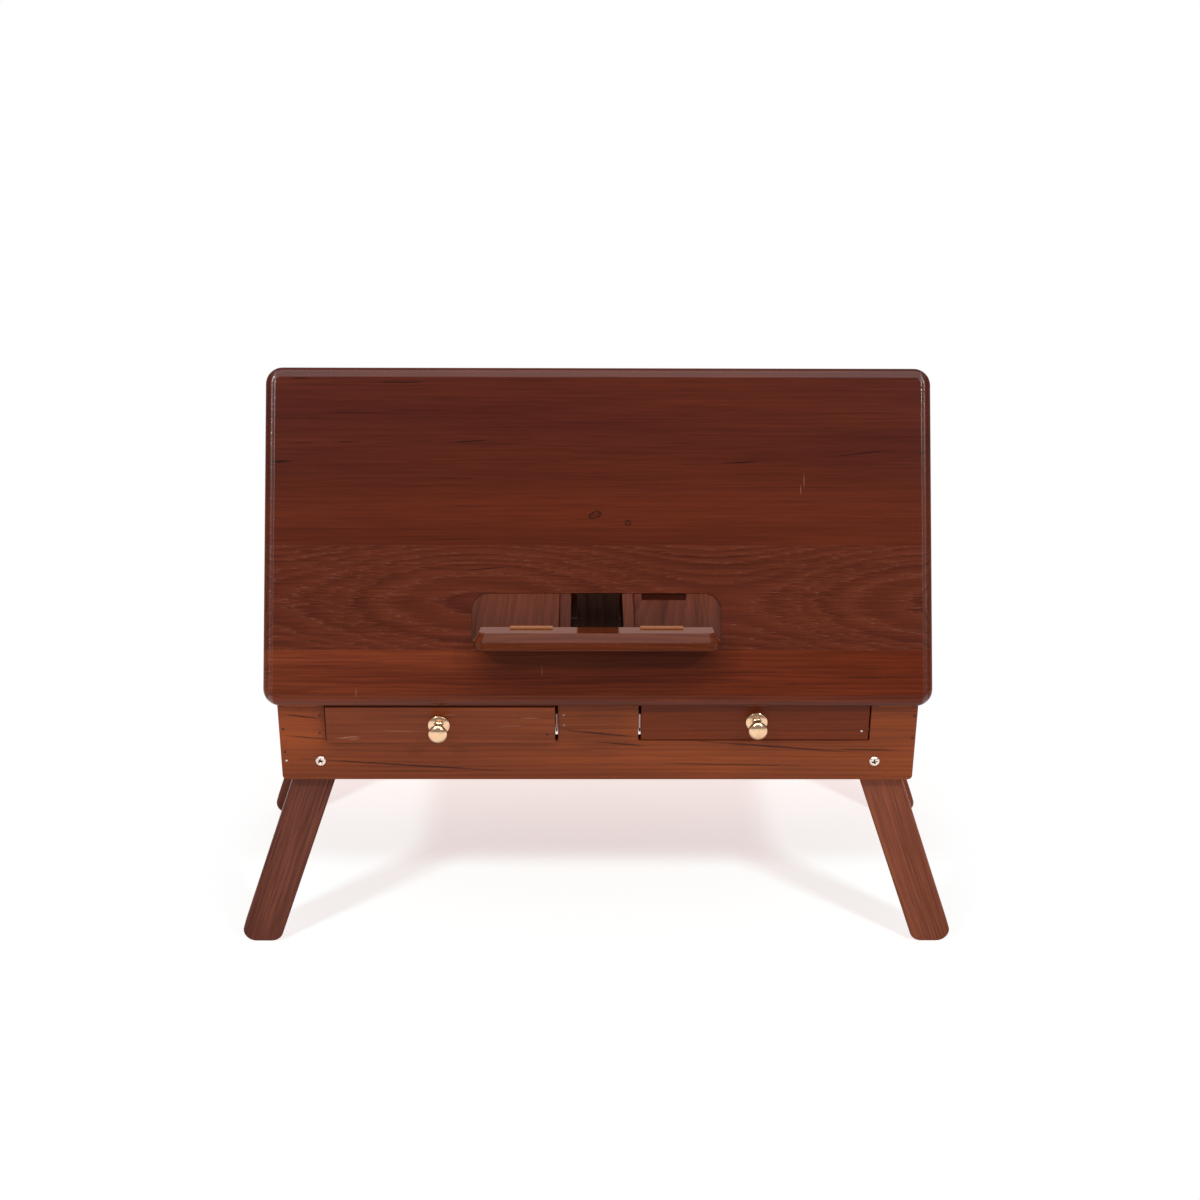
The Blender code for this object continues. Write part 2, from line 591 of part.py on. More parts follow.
def make_leaf(name, parent, hinge_x, width, plate, knuckle_r, pin_r, shares):
    """One leaf of a butt hinge about the local X axis: a plate with its knuckles, bored for the pin.

    plate is the (y, z) corners of the plate, and shares are the thirds that hold a knuckle of this leaf.
    """
    (low_y, low_z), (high_y, high_z) = plate
    along = (1.0, 0.0, 0.0)
    first_x = hinge_x - width / 2
    shape = bmesh.new()
    add_box(shape, (first_x, low_y, low_z), (first_x + width, high_y, high_z))
    leaf = piece(name, shape, "brass", parent)
    gaps = bmesh.new()
    tubes = bmesh.new()
    for first, last in THIRDS:
        start = first_x + width * first
        length = width * (last - first)
        if (first, last) in shares:
            add_rod(tubes, (start + FIT / 2, 0.0, 0.0), along, length - FIT, knuckle_r, SMALL_SIDES)
        else:
            add_rod(gaps, (start - FIT / 2, 0.0, 0.0), along, length + FIT, knuckle_r + FIT,
                    SMALL_SIDES)
    bore = bmesh.new()
    add_rod(bore, (first_x - width / 2, 0.0, 0.0), along, 2 * width, pin_r + FIT, SMALL_SIDES)
    cut(leaf, gaps, "knuckle_gaps")
    join(leaf, tubes, "knuckles")
    cut(leaf, bore, "pin_bore")
    return leaf


def make_pin(name, parent, hinge_x, width, pin_r):
    pin = bmesh.new()
    add_rod(pin, (hinge_x - width / 2, 0.0, 0.0), (1.0, 0.0, 0.0), width, pin_r, SMALL_SIDES)
    piece(name, pin, "brass", parent, smooth=True)


def make_lid(lid_axis):
    """Lid panel with a moulded edge and the ledge's cut-out, modelled closed about the lid pin."""
    shape = bmesh.new()
    mould_rise = min(MOULD_WIDTH, LID_THICK / 2)
    mould_low = LID_THICK - MOULD_STEP - mould_rise
    shares = [step / CORNER_STEPS for step in range(CORNER_STEPS + 1)]
    profile = [(UNDER_EASE, 0.0), (0.0, UNDER_EASE)]
    profile += [(arc_run(share, MOULD_WIDTH), mould_low + arc_height(share, mould_rise)) for share in shares]
    profile += [(MOULD_WIDTH + MOULD_STEP / 3, LID_THICK)]
    rings = []
    for inset, height in profile:
        width = LID_WIDTH / 2 - inset
        corners = rectangle(-width, LID_FRONT + inset, width, LID_FRONT + LID_DEPTH - inset)
        corner = max(LID_CORNER - inset, FIT)
        outline = rounded(corners, [corner] * 4)
        rings.append([shape.verts.new((x, y, LID_LOW + height)) for x, y in outline])
    for lower, upper in zip(rings, rings[1:]):
        for index in range(len(lower)):
            after = (index + 1) % len(lower)
            shape.faces.new((lower[index], lower[after], upper[after], upper[index]))
    shape.faces.new(rings[0])
    shape.faces.new(rings[-1])
    lid = piece("lid_panel", shape, "teak_lid", lid_axis)

    opening = bmesh.new()
    corners = rectangle(CUT_X - CUT_WIDTH / 2, CUT_LOW, CUT_X + CUT_WIDTH / 2, CUT_HIGH)
    outline = rounded(corners, [0.0, 0.0, CUT_CORNER, CUT_CORNER])
    add_prism(opening, [(x, y, LID_LOW - LID_THICK) for x, y in outline], (0.0, 0.0, 3 * LID_THICK))
    cut(lid, opening, "opening")
    return lid


def make_lid_hinges(desk, lid_axis, lid):
    """Two butt hinges let into the front board's top edge and the lid's underside."""
    pin_base = axis_empty("lid_pin_seat", desk, lid_axis.location)
    far = LID_PIN_FORWARD + LID_LEAF_DEPTH
    near = LID_LEAF_OFF
    leaf_far = near + LID_LEAF_THICK
    deep = leaf_far + FIT
    half = LID_HINGE_WIDTH / 2 + FIT
    gains = {"front_board": bmesh.new(), "lid_panel": bmesh.new()}
    knuckle_room = bmesh.new()
    for word, side in SIDES.items():
        x = side * LID_HINGE_X
        name = word + "_lid_hinge_"
        make_leaf(name + "lower_leaf", pin_base, x, LID_HINGE_WIDTH, ((0.0, -leaf_far), (far, -near)),
                  LID_KNUCKLE_R, LID_PIN_R, OUTER_KNUCKLES)
        make_leaf(name + "upper_leaf", lid_axis, x, LID_HINGE_WIDTH, ((0.0, near), (far, leaf_far)),
                  LID_KNUCKLE_R, LID_PIN_R, MIDDLE_KNUCKLE)
        make_pin(name + "pin", pin_base, x, LID_HINGE_WIDTH, LID_PIN_R)
        for gain in gains.values():
            add_box(gain, (x - half, -LID_KNUCKLE_R, -deep), (x + half, far + FIT, deep))
        add_rod(knuckle_room, (x - half, 0.0, 0.0), (1.0, 0.0, 0.0), 2 * half, LID_KNUCKLE_R + 2 * FIT)
    cut(desk_objects["front_board"], gains["front_board"], "hinge_gains", pin_base)
    cut(lid, gains["lid_panel"], "hinge_gains", lid_axis)
    cut(lid, knuckle_room, "knuckle_room", lid_axis)


def make_ledge(lid_axis, lid):
    """Flap that folds forward out of the lid, its hinges and its stop block."""
    ledge_axis = axis_empty("ledge_axis", lid_axis, (CUT_X, LEDGE_PIN_Y, LEDGE_PIN_Z), LEDGE_OPEN)
    ledge_seat = axis_empty("ledge_seat", lid_axis, (CUT_X, LEDGE_PIN_Y, LEDGE_PIN_Z))
    half = CUT_WIDTH / 2 - FLAP_END_GAP
    root = LEDGE_GAP / 2
    outer_z = LEDGE_PIN_DEEP
    inner_z = LEDGE_PIN_DEEP - LID_THICK
    corner = CUT_CORNER - FLAP_TOP_GAP
    shape = bmesh.new()
    rings = []
    slope_z = inner_z + FLAP_CHAMFER_DEEP
    for inset, height in ((FLAP_CHAMFER, inner_z), (0.0, slope_z), (0.0, outer_z - EASE), (EASE, outer_z)):
        corners = rectangle(-half + inset, root, half - inset, FLAP_REACH - inset)
        radius = max(corner - inset, FIT)
        outline = rounded(corners, [0.0, 0.0, radius, radius])
        rings.append([shape.verts.new((x, y, height)) for x, y in outline])
    for lower, upper in zip(rings, rings[1:]):
        for index in range(len(lower)):
            after = (index + 1) % len(lower)
            shape.faces.new((lower[index], lower[after], upper[after], upper[index]))
    shape.faces.new(rings[0])
    shape.faces.new(rings[-1])
    flap = piece("ledge_flap", shape, "teak_lid", ledge_axis)

    far = root - FIT
    near = far - LEDGE_LEAF_THICK
    lip_top = inner_z - FIT
    lip_low = lip_top - LEDGE_LEAF_THICK
    reliefs = {"lid_panel": bmesh.new(), "ledge_flap": bmesh.new()}
    for word, side in SIDES.items():
        x = side * LEDGE_HINGE_X
        name = word + "_ledge_hinge_"
        make_leaf(name + "lid_leaf", ledge_seat, x, LEDGE_HINGE_WIDTH, ((-far, inner_z), (-near, 0.0)),
                  LEDGE_KNUCKLE_R, LEDGE_PIN_R, OUTER_KNUCKLES)
        flap_leaf = make_leaf(name + "flap_leaf", ledge_axis, x, LEDGE_HINGE_WIDTH,
                              ((near, lip_low), (far, 0.0)), LEDGE_KNUCKLE_R, LEDGE_PIN_R, MIDDLE_KNUCKLE)
        lip = bmesh.new()
        add_box(lip, (x - LEDGE_HINGE_WIDTH / 2, near, lip_low),
                (x + LEDGE_HINGE_WIDTH / 2, far + LEDGE_LIP, lip_top))
        join(flap_leaf, lip, "lip")
        make_pin(name + "pin", ledge_seat, x, LEDGE_HINGE_WIDTH, LEDGE_PIN_R)
        start = (x - LEDGE_HINGE_WIDTH / 2 - FIT, 0.0, 0.0)
        for relief in reliefs.values():
            add_rod(relief, start, (1.0, 0.0, 0.0), LEDGE_HINGE_WIDTH + 2 * FIT, LEDGE_KNUCKLE_R + 2 * FIT)
    cut(lid, reliefs["lid_panel"], "knuckle_relief", ledge_seat)
    cut(flap, reliefs["ledge_flap"], "knuckle_relief", ledge_axis)

    block = bmesh.new()
    low_x = CUT_X + STOP_X - STOP_LENGTH / 2
    high_x = CUT_X + STOP_X + STOP_LENGTH / 2
    top = LID_LOW - FIT
    low = (low_x, CUT_HIGH - STOP_REACH, top - STOP_THICK)
    add_box(block, low, (high_x, CUT_HIGH + STOP_GRIP, top), EASE)
    piece("flap_stop_block", block, "teak_inner", lid_axis)


def make_prop(lid_axis):
    """Prop strut under the lid, on a pin in a brass bracket."""
    pivot = (0.0, PROP_REACH, -PROP_HANG)
    prop_axis = axis_empty("prop_axis", lid_axis, pivot, -LID_TILT - PROP_LEAN)
    half = PROP_WIDTH / 2
    radius = PROP_THICK / 2
    head = arc(radius, math.pi / 2, math.pi, CORNER_STEPS)
    foot = [(PROP_LENGTH - y, -z) for y, z in head]
    outline = head + foot
    shape = bmesh.new()
    add_prism(shape, [(-half, y, z) for y, z in outline], (PROP_WIDTH, 0.0, 0.0))
    strut = piece("prop_strut", shape, "teak_inner", prop_axis)
    hole = bmesh.new()
    add_rod(hole, (-PROP_WIDTH, 0.0, 0.0), (1.0, 0.0, 0.0), 2 * PROP_WIDTH, PROP_PIN_R + FIT)
    cut(strut, hole, "pin_hole")

    bracket = bmesh.new()
    cheek_in = half + FIT
    cheek_out = WELL_WIDTH / 2 - SLACK
    top = LID_LOW - FIT
    low = -PROP_HANG - BRACKET_BELOW
    outline = [(-cheek_out, low), (-cheek_in, low), (-cheek_in, top - BRACKET_PLATE),
               (cheek_in, top - BRACKET_PLATE), (cheek_in, low), (cheek_out, low),
               (cheek_out, top), (-cheek_out, top)]
    start = PROP_REACH - BRACKET_LENGTH / 2
    add_prism(bracket, [(x, start, z) for x, z in outline], (0.0, BRACKET_LENGTH, 0.0))
    made = piece("prop_bracket", bracket, "brass", lid_axis)
    hole = bmesh.new()
    add_rod(hole, (-WELL_WIDTH, PROP_REACH, -PROP_HANG), (1.0, 0.0, 0.0), 2 * WELL_WIDTH, PROP_PIN_R + FIT)
    cut(made, hole, "pin_hole")
    pin = bmesh.new()
    add_rod(pin, (-cheek_out, PROP_REACH, -PROP_HANG), (1.0, 0.0, 0.0), 2 * cheek_out, PROP_PIN_R)
    piece("prop_pin", pin, "steel", lid_axis, smooth=True)


def main():
    for old in list(bpy.data.objects):
        bpy.data.objects.remove(old, do_unlink=True)
    desk = axis_empty("desk", None, (0.0, FRONT_Y, BASE_RISE))
    lid_axis = axis_empty("lid_axis", desk, (0.0, -LID_PIN_FORWARD, LID_PIN_Z), LID_TILT)
    make_boards(desk)
    make_well(desk)
    make_catch_plates(desk)
    make_leg_pivots(desk)
    make_legs(desk)
    for word, side in SIDES.items():
        make_drawer(word, side, desk)
    lid = make_lid(lid_axis)
    make_lid_hinges(desk, lid_axis, lid)
    make_ledge(lid_axis, lid)
    make_prop(lid_axis)


main()
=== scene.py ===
"""Looks of the folding teak lap desk: lacquered boards, metal fittings, small fastenings, studio light."""
import json
import math

import bpy
from mathutils import Matrix, Vector


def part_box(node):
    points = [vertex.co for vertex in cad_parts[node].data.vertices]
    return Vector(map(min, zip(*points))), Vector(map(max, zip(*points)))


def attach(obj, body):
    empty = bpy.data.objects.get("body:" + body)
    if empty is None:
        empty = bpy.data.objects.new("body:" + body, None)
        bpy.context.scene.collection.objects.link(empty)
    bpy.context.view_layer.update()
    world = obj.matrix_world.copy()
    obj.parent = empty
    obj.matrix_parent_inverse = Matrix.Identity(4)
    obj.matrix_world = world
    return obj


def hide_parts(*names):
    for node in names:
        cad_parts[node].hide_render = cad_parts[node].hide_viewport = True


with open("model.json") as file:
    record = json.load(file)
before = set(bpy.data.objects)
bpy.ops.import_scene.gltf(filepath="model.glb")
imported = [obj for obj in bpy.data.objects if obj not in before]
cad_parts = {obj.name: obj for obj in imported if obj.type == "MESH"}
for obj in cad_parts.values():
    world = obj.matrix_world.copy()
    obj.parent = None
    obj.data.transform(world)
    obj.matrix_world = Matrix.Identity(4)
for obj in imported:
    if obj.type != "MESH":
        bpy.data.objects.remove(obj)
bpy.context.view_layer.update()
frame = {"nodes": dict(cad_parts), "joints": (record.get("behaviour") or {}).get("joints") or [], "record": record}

SIDES = {"left": -1.0, "right": 1.0}
ENDS = ("front", "rear")
X, Y, Z = Vector((1, 0, 0)), Vector((0, 1, 0)), Vector((0, 0, 1))
BLACK, WHITE = (0.0, 0.0, 0.0, 1), (1.0, 1.0, 1.0, 1)

# How the photographed desk stands
LID_TILT = math.radians(61.0)
LEDGE_SLOPE = math.radians(161.5)    # of the open flap, from straight back
LEG_SPLAY = math.radians(19.0)
PROP_LEAN = math.radians(56.27)
joint_place = {joint["name"]: Vector(joint["pos_m"]) for joint in frame["joints"] if "pos_m" in joint}
LID_PIN, LEDGE_PIN = joint_place["lid_tilt"], joint_place["ledge_fold"]
lid_up = Vector((0, math.cos(LID_TILT), math.sin(LID_TILT)))
lid_out = X.cross(lid_up)
lid_face = max((vertex.co - LID_PIN).dot(lid_out) for vertex in frame["nodes"]["lid_panel"].data.vertices)
flap_out = Vector((0, math.cos(LEDGE_SLOPE), math.sin(LEDGE_SLOPE)))
flap_top = flap_out.cross(X)
prop_down = Vector((0, math.cos(PROP_LEAN), -math.sin(PROP_LEAN)))

# Photograph's camera
FOCAL_PIXELS = 1971.8
IMAGE_PIXELS = 1200.0
SENSOR = 36.0
CAMERA_PITCH = math.radians(26.296)
CAMERA_YAW = math.radians(-0.572)
CAMERA_ROLL = math.radians(0.320)
CAMERA_X, CAMERA_FROM_FRONT, CAMERA_Z = -0.0144, -1.5511, 1.1404

node_body = {node: body for body, nodes in frame["record"]["behaviour"]["bodies"].items() for node in nodes}


def middle_of(node):
    """Middle of a node's box."""
    low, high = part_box(node)
    return (low + high) / 2


# Shader nodes

def feed(tree, value, socket):
    """Link a socket to another, or set its own value."""
    if isinstance(value, bpy.types.NodeSocket):
        tree.links.new(value, socket)
    else:
        socket.default_value = value


def lay(tree, kind, sockets=None, **settings):
    """Lay one node in a tree and feed its inputs."""
    made = tree.nodes.new(kind)
    for name, value in settings.items():
        setattr(made, name, value)
    for key, value in (sockets or {}).items():
        feed(tree, value, made.inputs[key])
    return made


def maths(tree, operation, *values, clamp=False):
    """Result of one sum."""
    made = lay(tree, "ShaderNodeMath", dict(enumerate(values)), operation=operation, use_clamp=clamp)
    return made.outputs[0]


def spread(tree, value, low, high, to_low=0.0, to_high=1.0):
    """Smooth step of a value between two marks."""
    sockets = {"Value": value, "From Min": low, "From Max": high, "To Min": to_low, "To Max": to_high}
    return lay(tree, "ShaderNodeMapRange", sockets, interpolation_type="SMOOTHSTEP").outputs[0]


def tint(tree, mask, first, second, mode="MIX"):
    """Colour that turns from first to second under a mask."""
    sockets = {0: mask, 6: first, 7: second}
    return lay(tree, "ShaderNodeMix", sockets, data_type="RGBA", blend_type=mode).outputs[2]


def triple(tree, value):
    """One value in all three channels."""
    return lay(tree, "ShaderNodeCombineXYZ", {0: value, 1: value, 2: value}).outputs[0]


def shaded(tree, colour, value):
    """Colour times a value."""
    return tint(tree, 1.0, colour, triple(tree, value), "MULTIPLY")


def parts_of(tree, vector):
    """X, Y and Z of a vector."""
    return lay(tree, "ShaderNodeSeparateXYZ", {0: vector}).outputs


def own_place(tree):
    """A piece's own coordinates."""
    return lay(tree, "ShaderNodeTexCoord").outputs["Object"]


def cloud(tree, vector, scale, detail=2.0, roughness=0.5):
    """Soft noise, with its cycles per metre along the grain and across it."""
    along, across = scale
    sockets = {0: vector, 1: (along, across, across)}
    stretched = lay(tree, "ShaderNodeVectorMath", sockets, operation="MULTIPLY").outputs[0]
    sockets = {"Vector": stretched, "Scale": 1.0, "Detail": detail, "Roughness": roughness}
    return lay(tree, "ShaderNodeTexNoise", sockets).outputs[0]


def centred(tree, noise):
    """Noise moved to lie evenly about zero."""
    return maths(tree, "SUBTRACT", noise, 0.5)


def new_group(name, inputs, outputs):
    """Shader group with its sockets; gives the tree, its entry and its exit."""
    tree = bpy.data.node_groups.new(name, "ShaderNodeTree")
    for label, kind, value in inputs:
        socket = tree.interface.new_socket(label, in_out="INPUT", socket_type="NodeSocket" + kind)
        if value is not None:
            socket.default_value = value
    for label, kind in outputs:
        tree.interface.new_socket(label, in_out="OUTPUT", socket_type="NodeSocket" + kind)
    return tree, lay(tree, "NodeGroupInput").outputs, lay(tree, "NodeGroupOutput").inputs


def placed(tree, group, **sockets):
    """A group node in another tree, fed by its sockets' names with _ for spaces."""
    made = lay(tree, "ShaderNodeGroup", node_tree=group)
    for name, value in sockets.items():
        feed(tree, value, made.inputs[name.replace("_", " ")])
    return made.outputs


# Noise scales: cycles per metre along the grain and across it
RING_SWAY, RING_SHIVER, RING_TEAR = (5.0, 26.0), (22.0, 150.0), (26.0, 900.0)
FIBRES, BANDS, PORES, STREAKS = (16.0, 620.0), (2.2, 34.0), (120.0, 1900.0), (8.0, 560.0)
RAGGED_EDGE, RIM_WAVES, RUBBING = (90.0, 900.0), (20.0, 420.0), (400.0, 3200.0)

# Growth rings
SHIVER_SHARE = 0.4    # of the quick waver beside the slow one
RING_DRIFT, RING_UNEVEN = 0.45, 1.4    # how soon the rings' width changes, and how much
LATE_RISE, LATE_FALL = (0.2, 0.9), (0.9, 1.0)    # where late wood comes and goes within a ring
EARLY_RISE, EARLY_FALL = (0.0, 0.05), (0.08, 0.34)
PALEST_RING = 0.5    # of the darkest one's tone

# Fibres and pores
PORE_EDGE, STREAK_EDGE, BAND_EDGE, FIBRE_EDGE = (0.56, 0.68), (0.66, 0.76), (0.3, 0.7), (0.25, 0.75)
DEEP_SHARE = 0.35    # of the deep tone in plain wood
PORES_EARLY, PORES_LATE = 0.9, 0.1    # open pores: more in early wood, a few everywhere
PORES_FELT = 2.0    # how soon flecks turn into felt pores
FIBRE_ROUGH, PORE_ROUGH, FIBRE_RELIEF = 0.10, 0.15, 0.6
MARK_CORE = 0.25    # share of a mark that is at full strength

PLACE_INPUTS = [("Vector", "Vector", None), ("Seed", "Float", 0.0)]
RING_INPUTS = [("Side", "Float", 0.0), ("Depth", "Float", 0.06), ("Swell", "Float", 0.004),
               ("Swell Length", "Float", 0.43), ("Swell Start", "Float", 0.0), ("Gap", "Float", 0.005),
               ("Waver", "Float", 0.004), ("Tear", "Float", 0.03)]
TONE_INPUTS = [("Pale", "Color", (0.2, 0.07, 0.03, 1)), ("Deep", "Color", (0.08, 0.02, 0.01, 1)),
               ("Ink", "Color", (0.02, 0.008, 0.006, 1)), ("Fleck", "Color", (0.3, 0.13, 0.08, 1))]
FIGURE_INPUTS = [("Figure", "Float", 0.5), ("Banding", "Float", 0.5), ("Streaks", "Float", 0.5),
                 ("Flecks", "Float", 0.5), ("Contrast", "Float", 0.3), ("Sheen Break", "Float", 0.25)]
MARK_INPUTS = [("Vector", "Vector", None), ("Along", "Float", 0.0), ("Up", "Float", 0.0),
               ("Half Length", "Float", 0.01), ("Half Width", "Float", 0.001), ("Slope", "Float", 0.0),
               ("Ragged", "Float", 0.0)]


def seeded(tree, given):
    """Coordinates moved by the board's seed, so that no two boards are alike."""
    sockets = {0: given["Vector"], 1: triple(tree, given["Seed"])}
    return lay(tree, "ShaderNodeVectorMath", sockets, operation="ADD").outputs[0]


def make_rings_group():
    """Growth rings of a log whose pith swells away from the board and back."""
    outputs = [("Late", "Float"), ("Early", "Float")]
    tree, given, out = new_group("growth rings", PLACE_INPUTS + RING_INPUTS, outputs)
    moved = seeded(tree, given)
    along, across, inward = parts_of(tree, given["Vector"])
    slow = centred(tree, cloud(tree, moved, RING_SWAY))
    quick = centred(tree, cloud(tree, moved, RING_SHIVER))
    waver = maths(tree, "MULTIPLY_ADD", quick, SHIVER_SHARE, slow)
    waver = maths(tree, "MULTIPLY", waver, given["Waver"])
    torn = centred(tree, cloud(tree, moved, RING_TEAR))
    along = maths(tree, "MULTIPLY_ADD", torn, given["Tear"], along)
    turn = maths(tree, "SUBTRACT", along, given["Swell Start"])
    turn = maths(tree, "DIVIDE", turn, given["Swell Length"])
    wave = maths(tree, "COSINE", maths(tree, "MULTIPLY", turn, 2.0 * math.pi))
    depth = maths(tree, "MULTIPLY_ADD", given["Swell"], wave, given["Depth"])
    depth = maths(tree, "ADD", depth, inward)
    aside = maths(tree, "SUBTRACT", across, given["Side"])
    square = maths(tree, "MULTIPLY_ADD", depth, depth, maths(tree, "MULTIPLY", aside, aside))
    radius = maths(tree, "ADD", maths(tree, "SQRT", square), waver)
    count = maths(tree, "DIVIDE", radius, given["Gap"])
    drift = maths(tree, "MULTIPLY_ADD", count, RING_DRIFT, given["Seed"])
    sockets = {"W": drift, "Scale": 1.0, "Detail": 0.0}
    uneven = lay(tree, "ShaderNodeTexNoise", sockets, noise_dimensions="1D").outputs[0]
    count = maths(tree, "MULTIPLY_ADD", uneven, RING_UNEVEN, count)
    share = maths(tree, "FRACT", count)
    sockets = {"W": maths(tree, "FLOOR", count)}
    tone = lay(tree, "ShaderNodeTexWhiteNoise", sockets, noise_dimensions="1D").outputs[0]
    tone = maths(tree, "MULTIPLY_ADD", tone, 1.0 - PALEST_RING, PALEST_RING)
    late = spread(tree, share, *LATE_RISE)
    late = maths(tree, "MULTIPLY", late, spread(tree, share, *LATE_FALL, 1.0, 0.0))
    feed(tree, maths(tree, "MULTIPLY", late, tone), out["Late"])
    early = spread(tree, share, *EARLY_RISE)
    feed(tree, maths(tree, "MULTIPLY", early, spread(tree, share, *EARLY_FALL, 1.0, 0.0)), out["Early"])
    return tree


def make_fibre_group():
    """Fibres, pores, broad bands and dark streaks that run with the grain."""
    outputs = [("Fibre", "Float"), ("Band", "Float"), ("Pore", "Float"), ("Streak", "Float")]
    tree, given, out = new_group("fibre and pores", PLACE_INPUTS, outputs)
    moved = seeded(tree, given)
    feed(tree, cloud(tree, moved, FIBRES, 3.0, 0.65), out["Fibre"])
    feed(tree, cloud(tree, moved, BANDS, 3.0, 0.55), out["Band"])
    feed(tree, spread(tree, cloud(tree, moved, PORES, 1.0), *PORE_EDGE), out["Pore"])
    feed(tree, spread(tree, cloud(tree, moved, STREAKS, 1.0), *STREAK_EDGE), out["Streak"])
    return tree


def make_teak_group():
    """One teak board: colour, roughness and relief from its rings and fibres."""
    inputs = PLACE_INPUTS + RING_INPUTS + TONE_INPUTS + FIGURE_INPUTS
    outputs = [("Colour", "Color"), ("Roughness", "Float"), ("Relief", "Float")]
    tree, given, out = new_group("teak board", inputs, outputs)
    names = [row[0] for row in PLACE_INPUTS + RING_INPUTS]
    rings = placed(tree, rings_group, **{name.replace(" ", "_"): given[name] for name in names})
    fibre = placed(tree, fibre_group, Vector=given["Vector"], Seed=given["Seed"])
    band = centred(tree, spread(tree, fibre["Band"], *BAND_EDGE))
    band = maths(tree, "MULTIPLY", band, given["Banding"])
    deep = maths(tree, "MULTIPLY_ADD", rings["Late"], given["Figure"], band)
    deep = maths(tree, "ADD", deep, DEEP_SHARE, clamp=True)
    colour = tint(tree, deep, given["Pale"], given["Deep"])
    shade = spread(tree, fibre["Fibre"], *FIBRE_EDGE, -0.5, 0.5)
    colour = shaded(tree, colour, maths(tree, "MULTIPLY_ADD", shade, given["Contrast"], 1.0))
    streaks = maths(tree, "MULTIPLY", fibre["Streak"], given["Streaks"])
    colour = tint(tree, streaks, colour, given["Ink"])
    open_pores = maths(tree, "MULTIPLY_ADD", rings["Early"], PORES_EARLY, PORES_LATE)
    open_pores = maths(tree, "MULTIPLY", fibre["Pore"], open_pores)
    colour = tint(tree, maths(tree, "MULTIPLY", open_pores, given["Flecks"]), colour, given["Fleck"])
    feed(tree, colour, out["Colour"])
    rough = centred(tree, fibre["Fibre"])
    rough = maths(tree, "MULTIPLY_ADD", rough, FIBRE_ROUGH, given["Sheen Break"])
    felt = maths(tree, "MULTIPLY", given["Flecks"], PORES_FELT, clamp=True)
    felt = maths(tree, "MULTIPLY", open_pores, felt)
    feed(tree, maths(tree, "MULTIPLY_ADD", felt, PORE_ROUGH, rough), out["Roughness"])
    relief = maths(tree, "MULTIPLY", fibre["Fibre"], FIBRE_RELIEF)
    feed(tree, maths(tree, "SUBTRACT", relief, felt), out["Relief"])
    return tree


def make_mark_group():
    """Soft-edged long mark on a face, such as a scratch, streak or knot."""
    tree, given, out = new_group("long mark", MARK_INPUTS, [("Mask", "Float")])
    along, up = parts_of(tree, given["Vector"])[:2]
    run = maths(tree, "SUBTRACT", along, given["Along"])
    far = maths(tree, "DIVIDE", run, given["Half Length"])
    line = maths(tree, "MULTIPLY_ADD", run, given["Slope"], given["Up"])
    off = maths(tree, "DIVIDE", maths(tree, "SUBTRACT", up, line), given["Half Width"])
    square = maths(tree, "MULTIPLY_ADD", far, far, maths(tree, "MULTIPLY", off, off))
    reach = maths(tree, "ADD", given["Ragged"], maths(tree, "SQRT", square))
    feed(tree, spread(tree, reach, MARK_CORE, 1.0, 1.0, 0.0), out["Mask"])
    return tree


rings_group = make_rings_group()
fibre_group = make_fibre_group()
teak_group = make_teak_group()
mark_group = make_mark_group()


# Finishes

def linear(red, green, blue):
    """Shader colour from the colour as the eye reads it, 0 to 255."""
    steps = [value / 255.0 for value in (red, green, blue)]
    return tuple(v / 12.92 if v <= 0.04045 else ((v + 0.055) / 1.055) ** 2.4 for v in steps) + (1.0,)


INK, KNOT_RING, SCRATCH = linear(14, 6, 5), linear(34, 17, 8), linear(190, 140, 120)
SUNNED = linear(157, 73, 32)
TONES = {
    "lid_upper": {"Pale": linear(78, 29, 15), "Deep": linear(54, 16, 9), "Fleck": linear(95, 51, 34)},
    "lid_middle": {"Pale": linear(91, 39, 21), "Deep": linear(63, 22, 11), "Fleck": linear(124, 73, 46)},
    "lid_lower": {"Pale": linear(101, 42, 19), "Deep": linear(70, 23, 8), "Fleck": linear(116, 60, 32)},
    "frame": {"Pale": linear(141, 67, 28), "Deep": linear(91, 36, 14), "Fleck": linear(153, 85, 45)},
    "drawer_left": {"Pale": linear(134, 63, 30), "Deep": linear(89, 36, 15), "Fleck": linear(163, 102, 59)},
    "drawer_right": {"Pale": linear(114, 46, 12), "Deep": linear(76, 24, 5), "Fleck": linear(140, 75, 28)},
    "flap": {"Pale": linear(93, 41, 21), "Deep": linear(66, 25, 10), "Fleck": linear(126, 78, 46)},
    "inner": {"Pale": linear(126, 65, 43), "Deep": linear(89, 38, 23), "Fleck": linear(139, 77, 55)},
    # The prop's tone is a guessed teak brown, greyed as painted light: it stands in for stray light veiling its
    # shaded face.
    "prop": {"Pale": linear(124, 98, 86), "Deep": linear(90, 70, 61), "Fleck": linear(132, 107, 95)},
    "leg_left": {"Pale": linear(112, 62, 48), "Deep": linear(74, 34, 25), "Fleck": linear(129, 81, 67)},
    "leg_right": {"Pale": linear(143, 80, 57), "Deep": linear(96, 46, 31), "Fleck": linear(164, 104, 80)},
}

# Lacquer, and painted shade in the well
BOARD_SHINE, FLAP_SHINE, LEG_SHINE, LID_SHINE = 0.15, 0.12, 0.08, 0.22
PORE_DEPTH = 0.00006
WELL_SHADE, WELL_SHADE_EDGE, WELL_SHADE_TOP = 0.12, 0.0006, 0.0004    # colour left under painted shade in the well, its soft edge, and the undarkened strip at a divider's top
ALL_OVER = 1.0    # a height above every piece

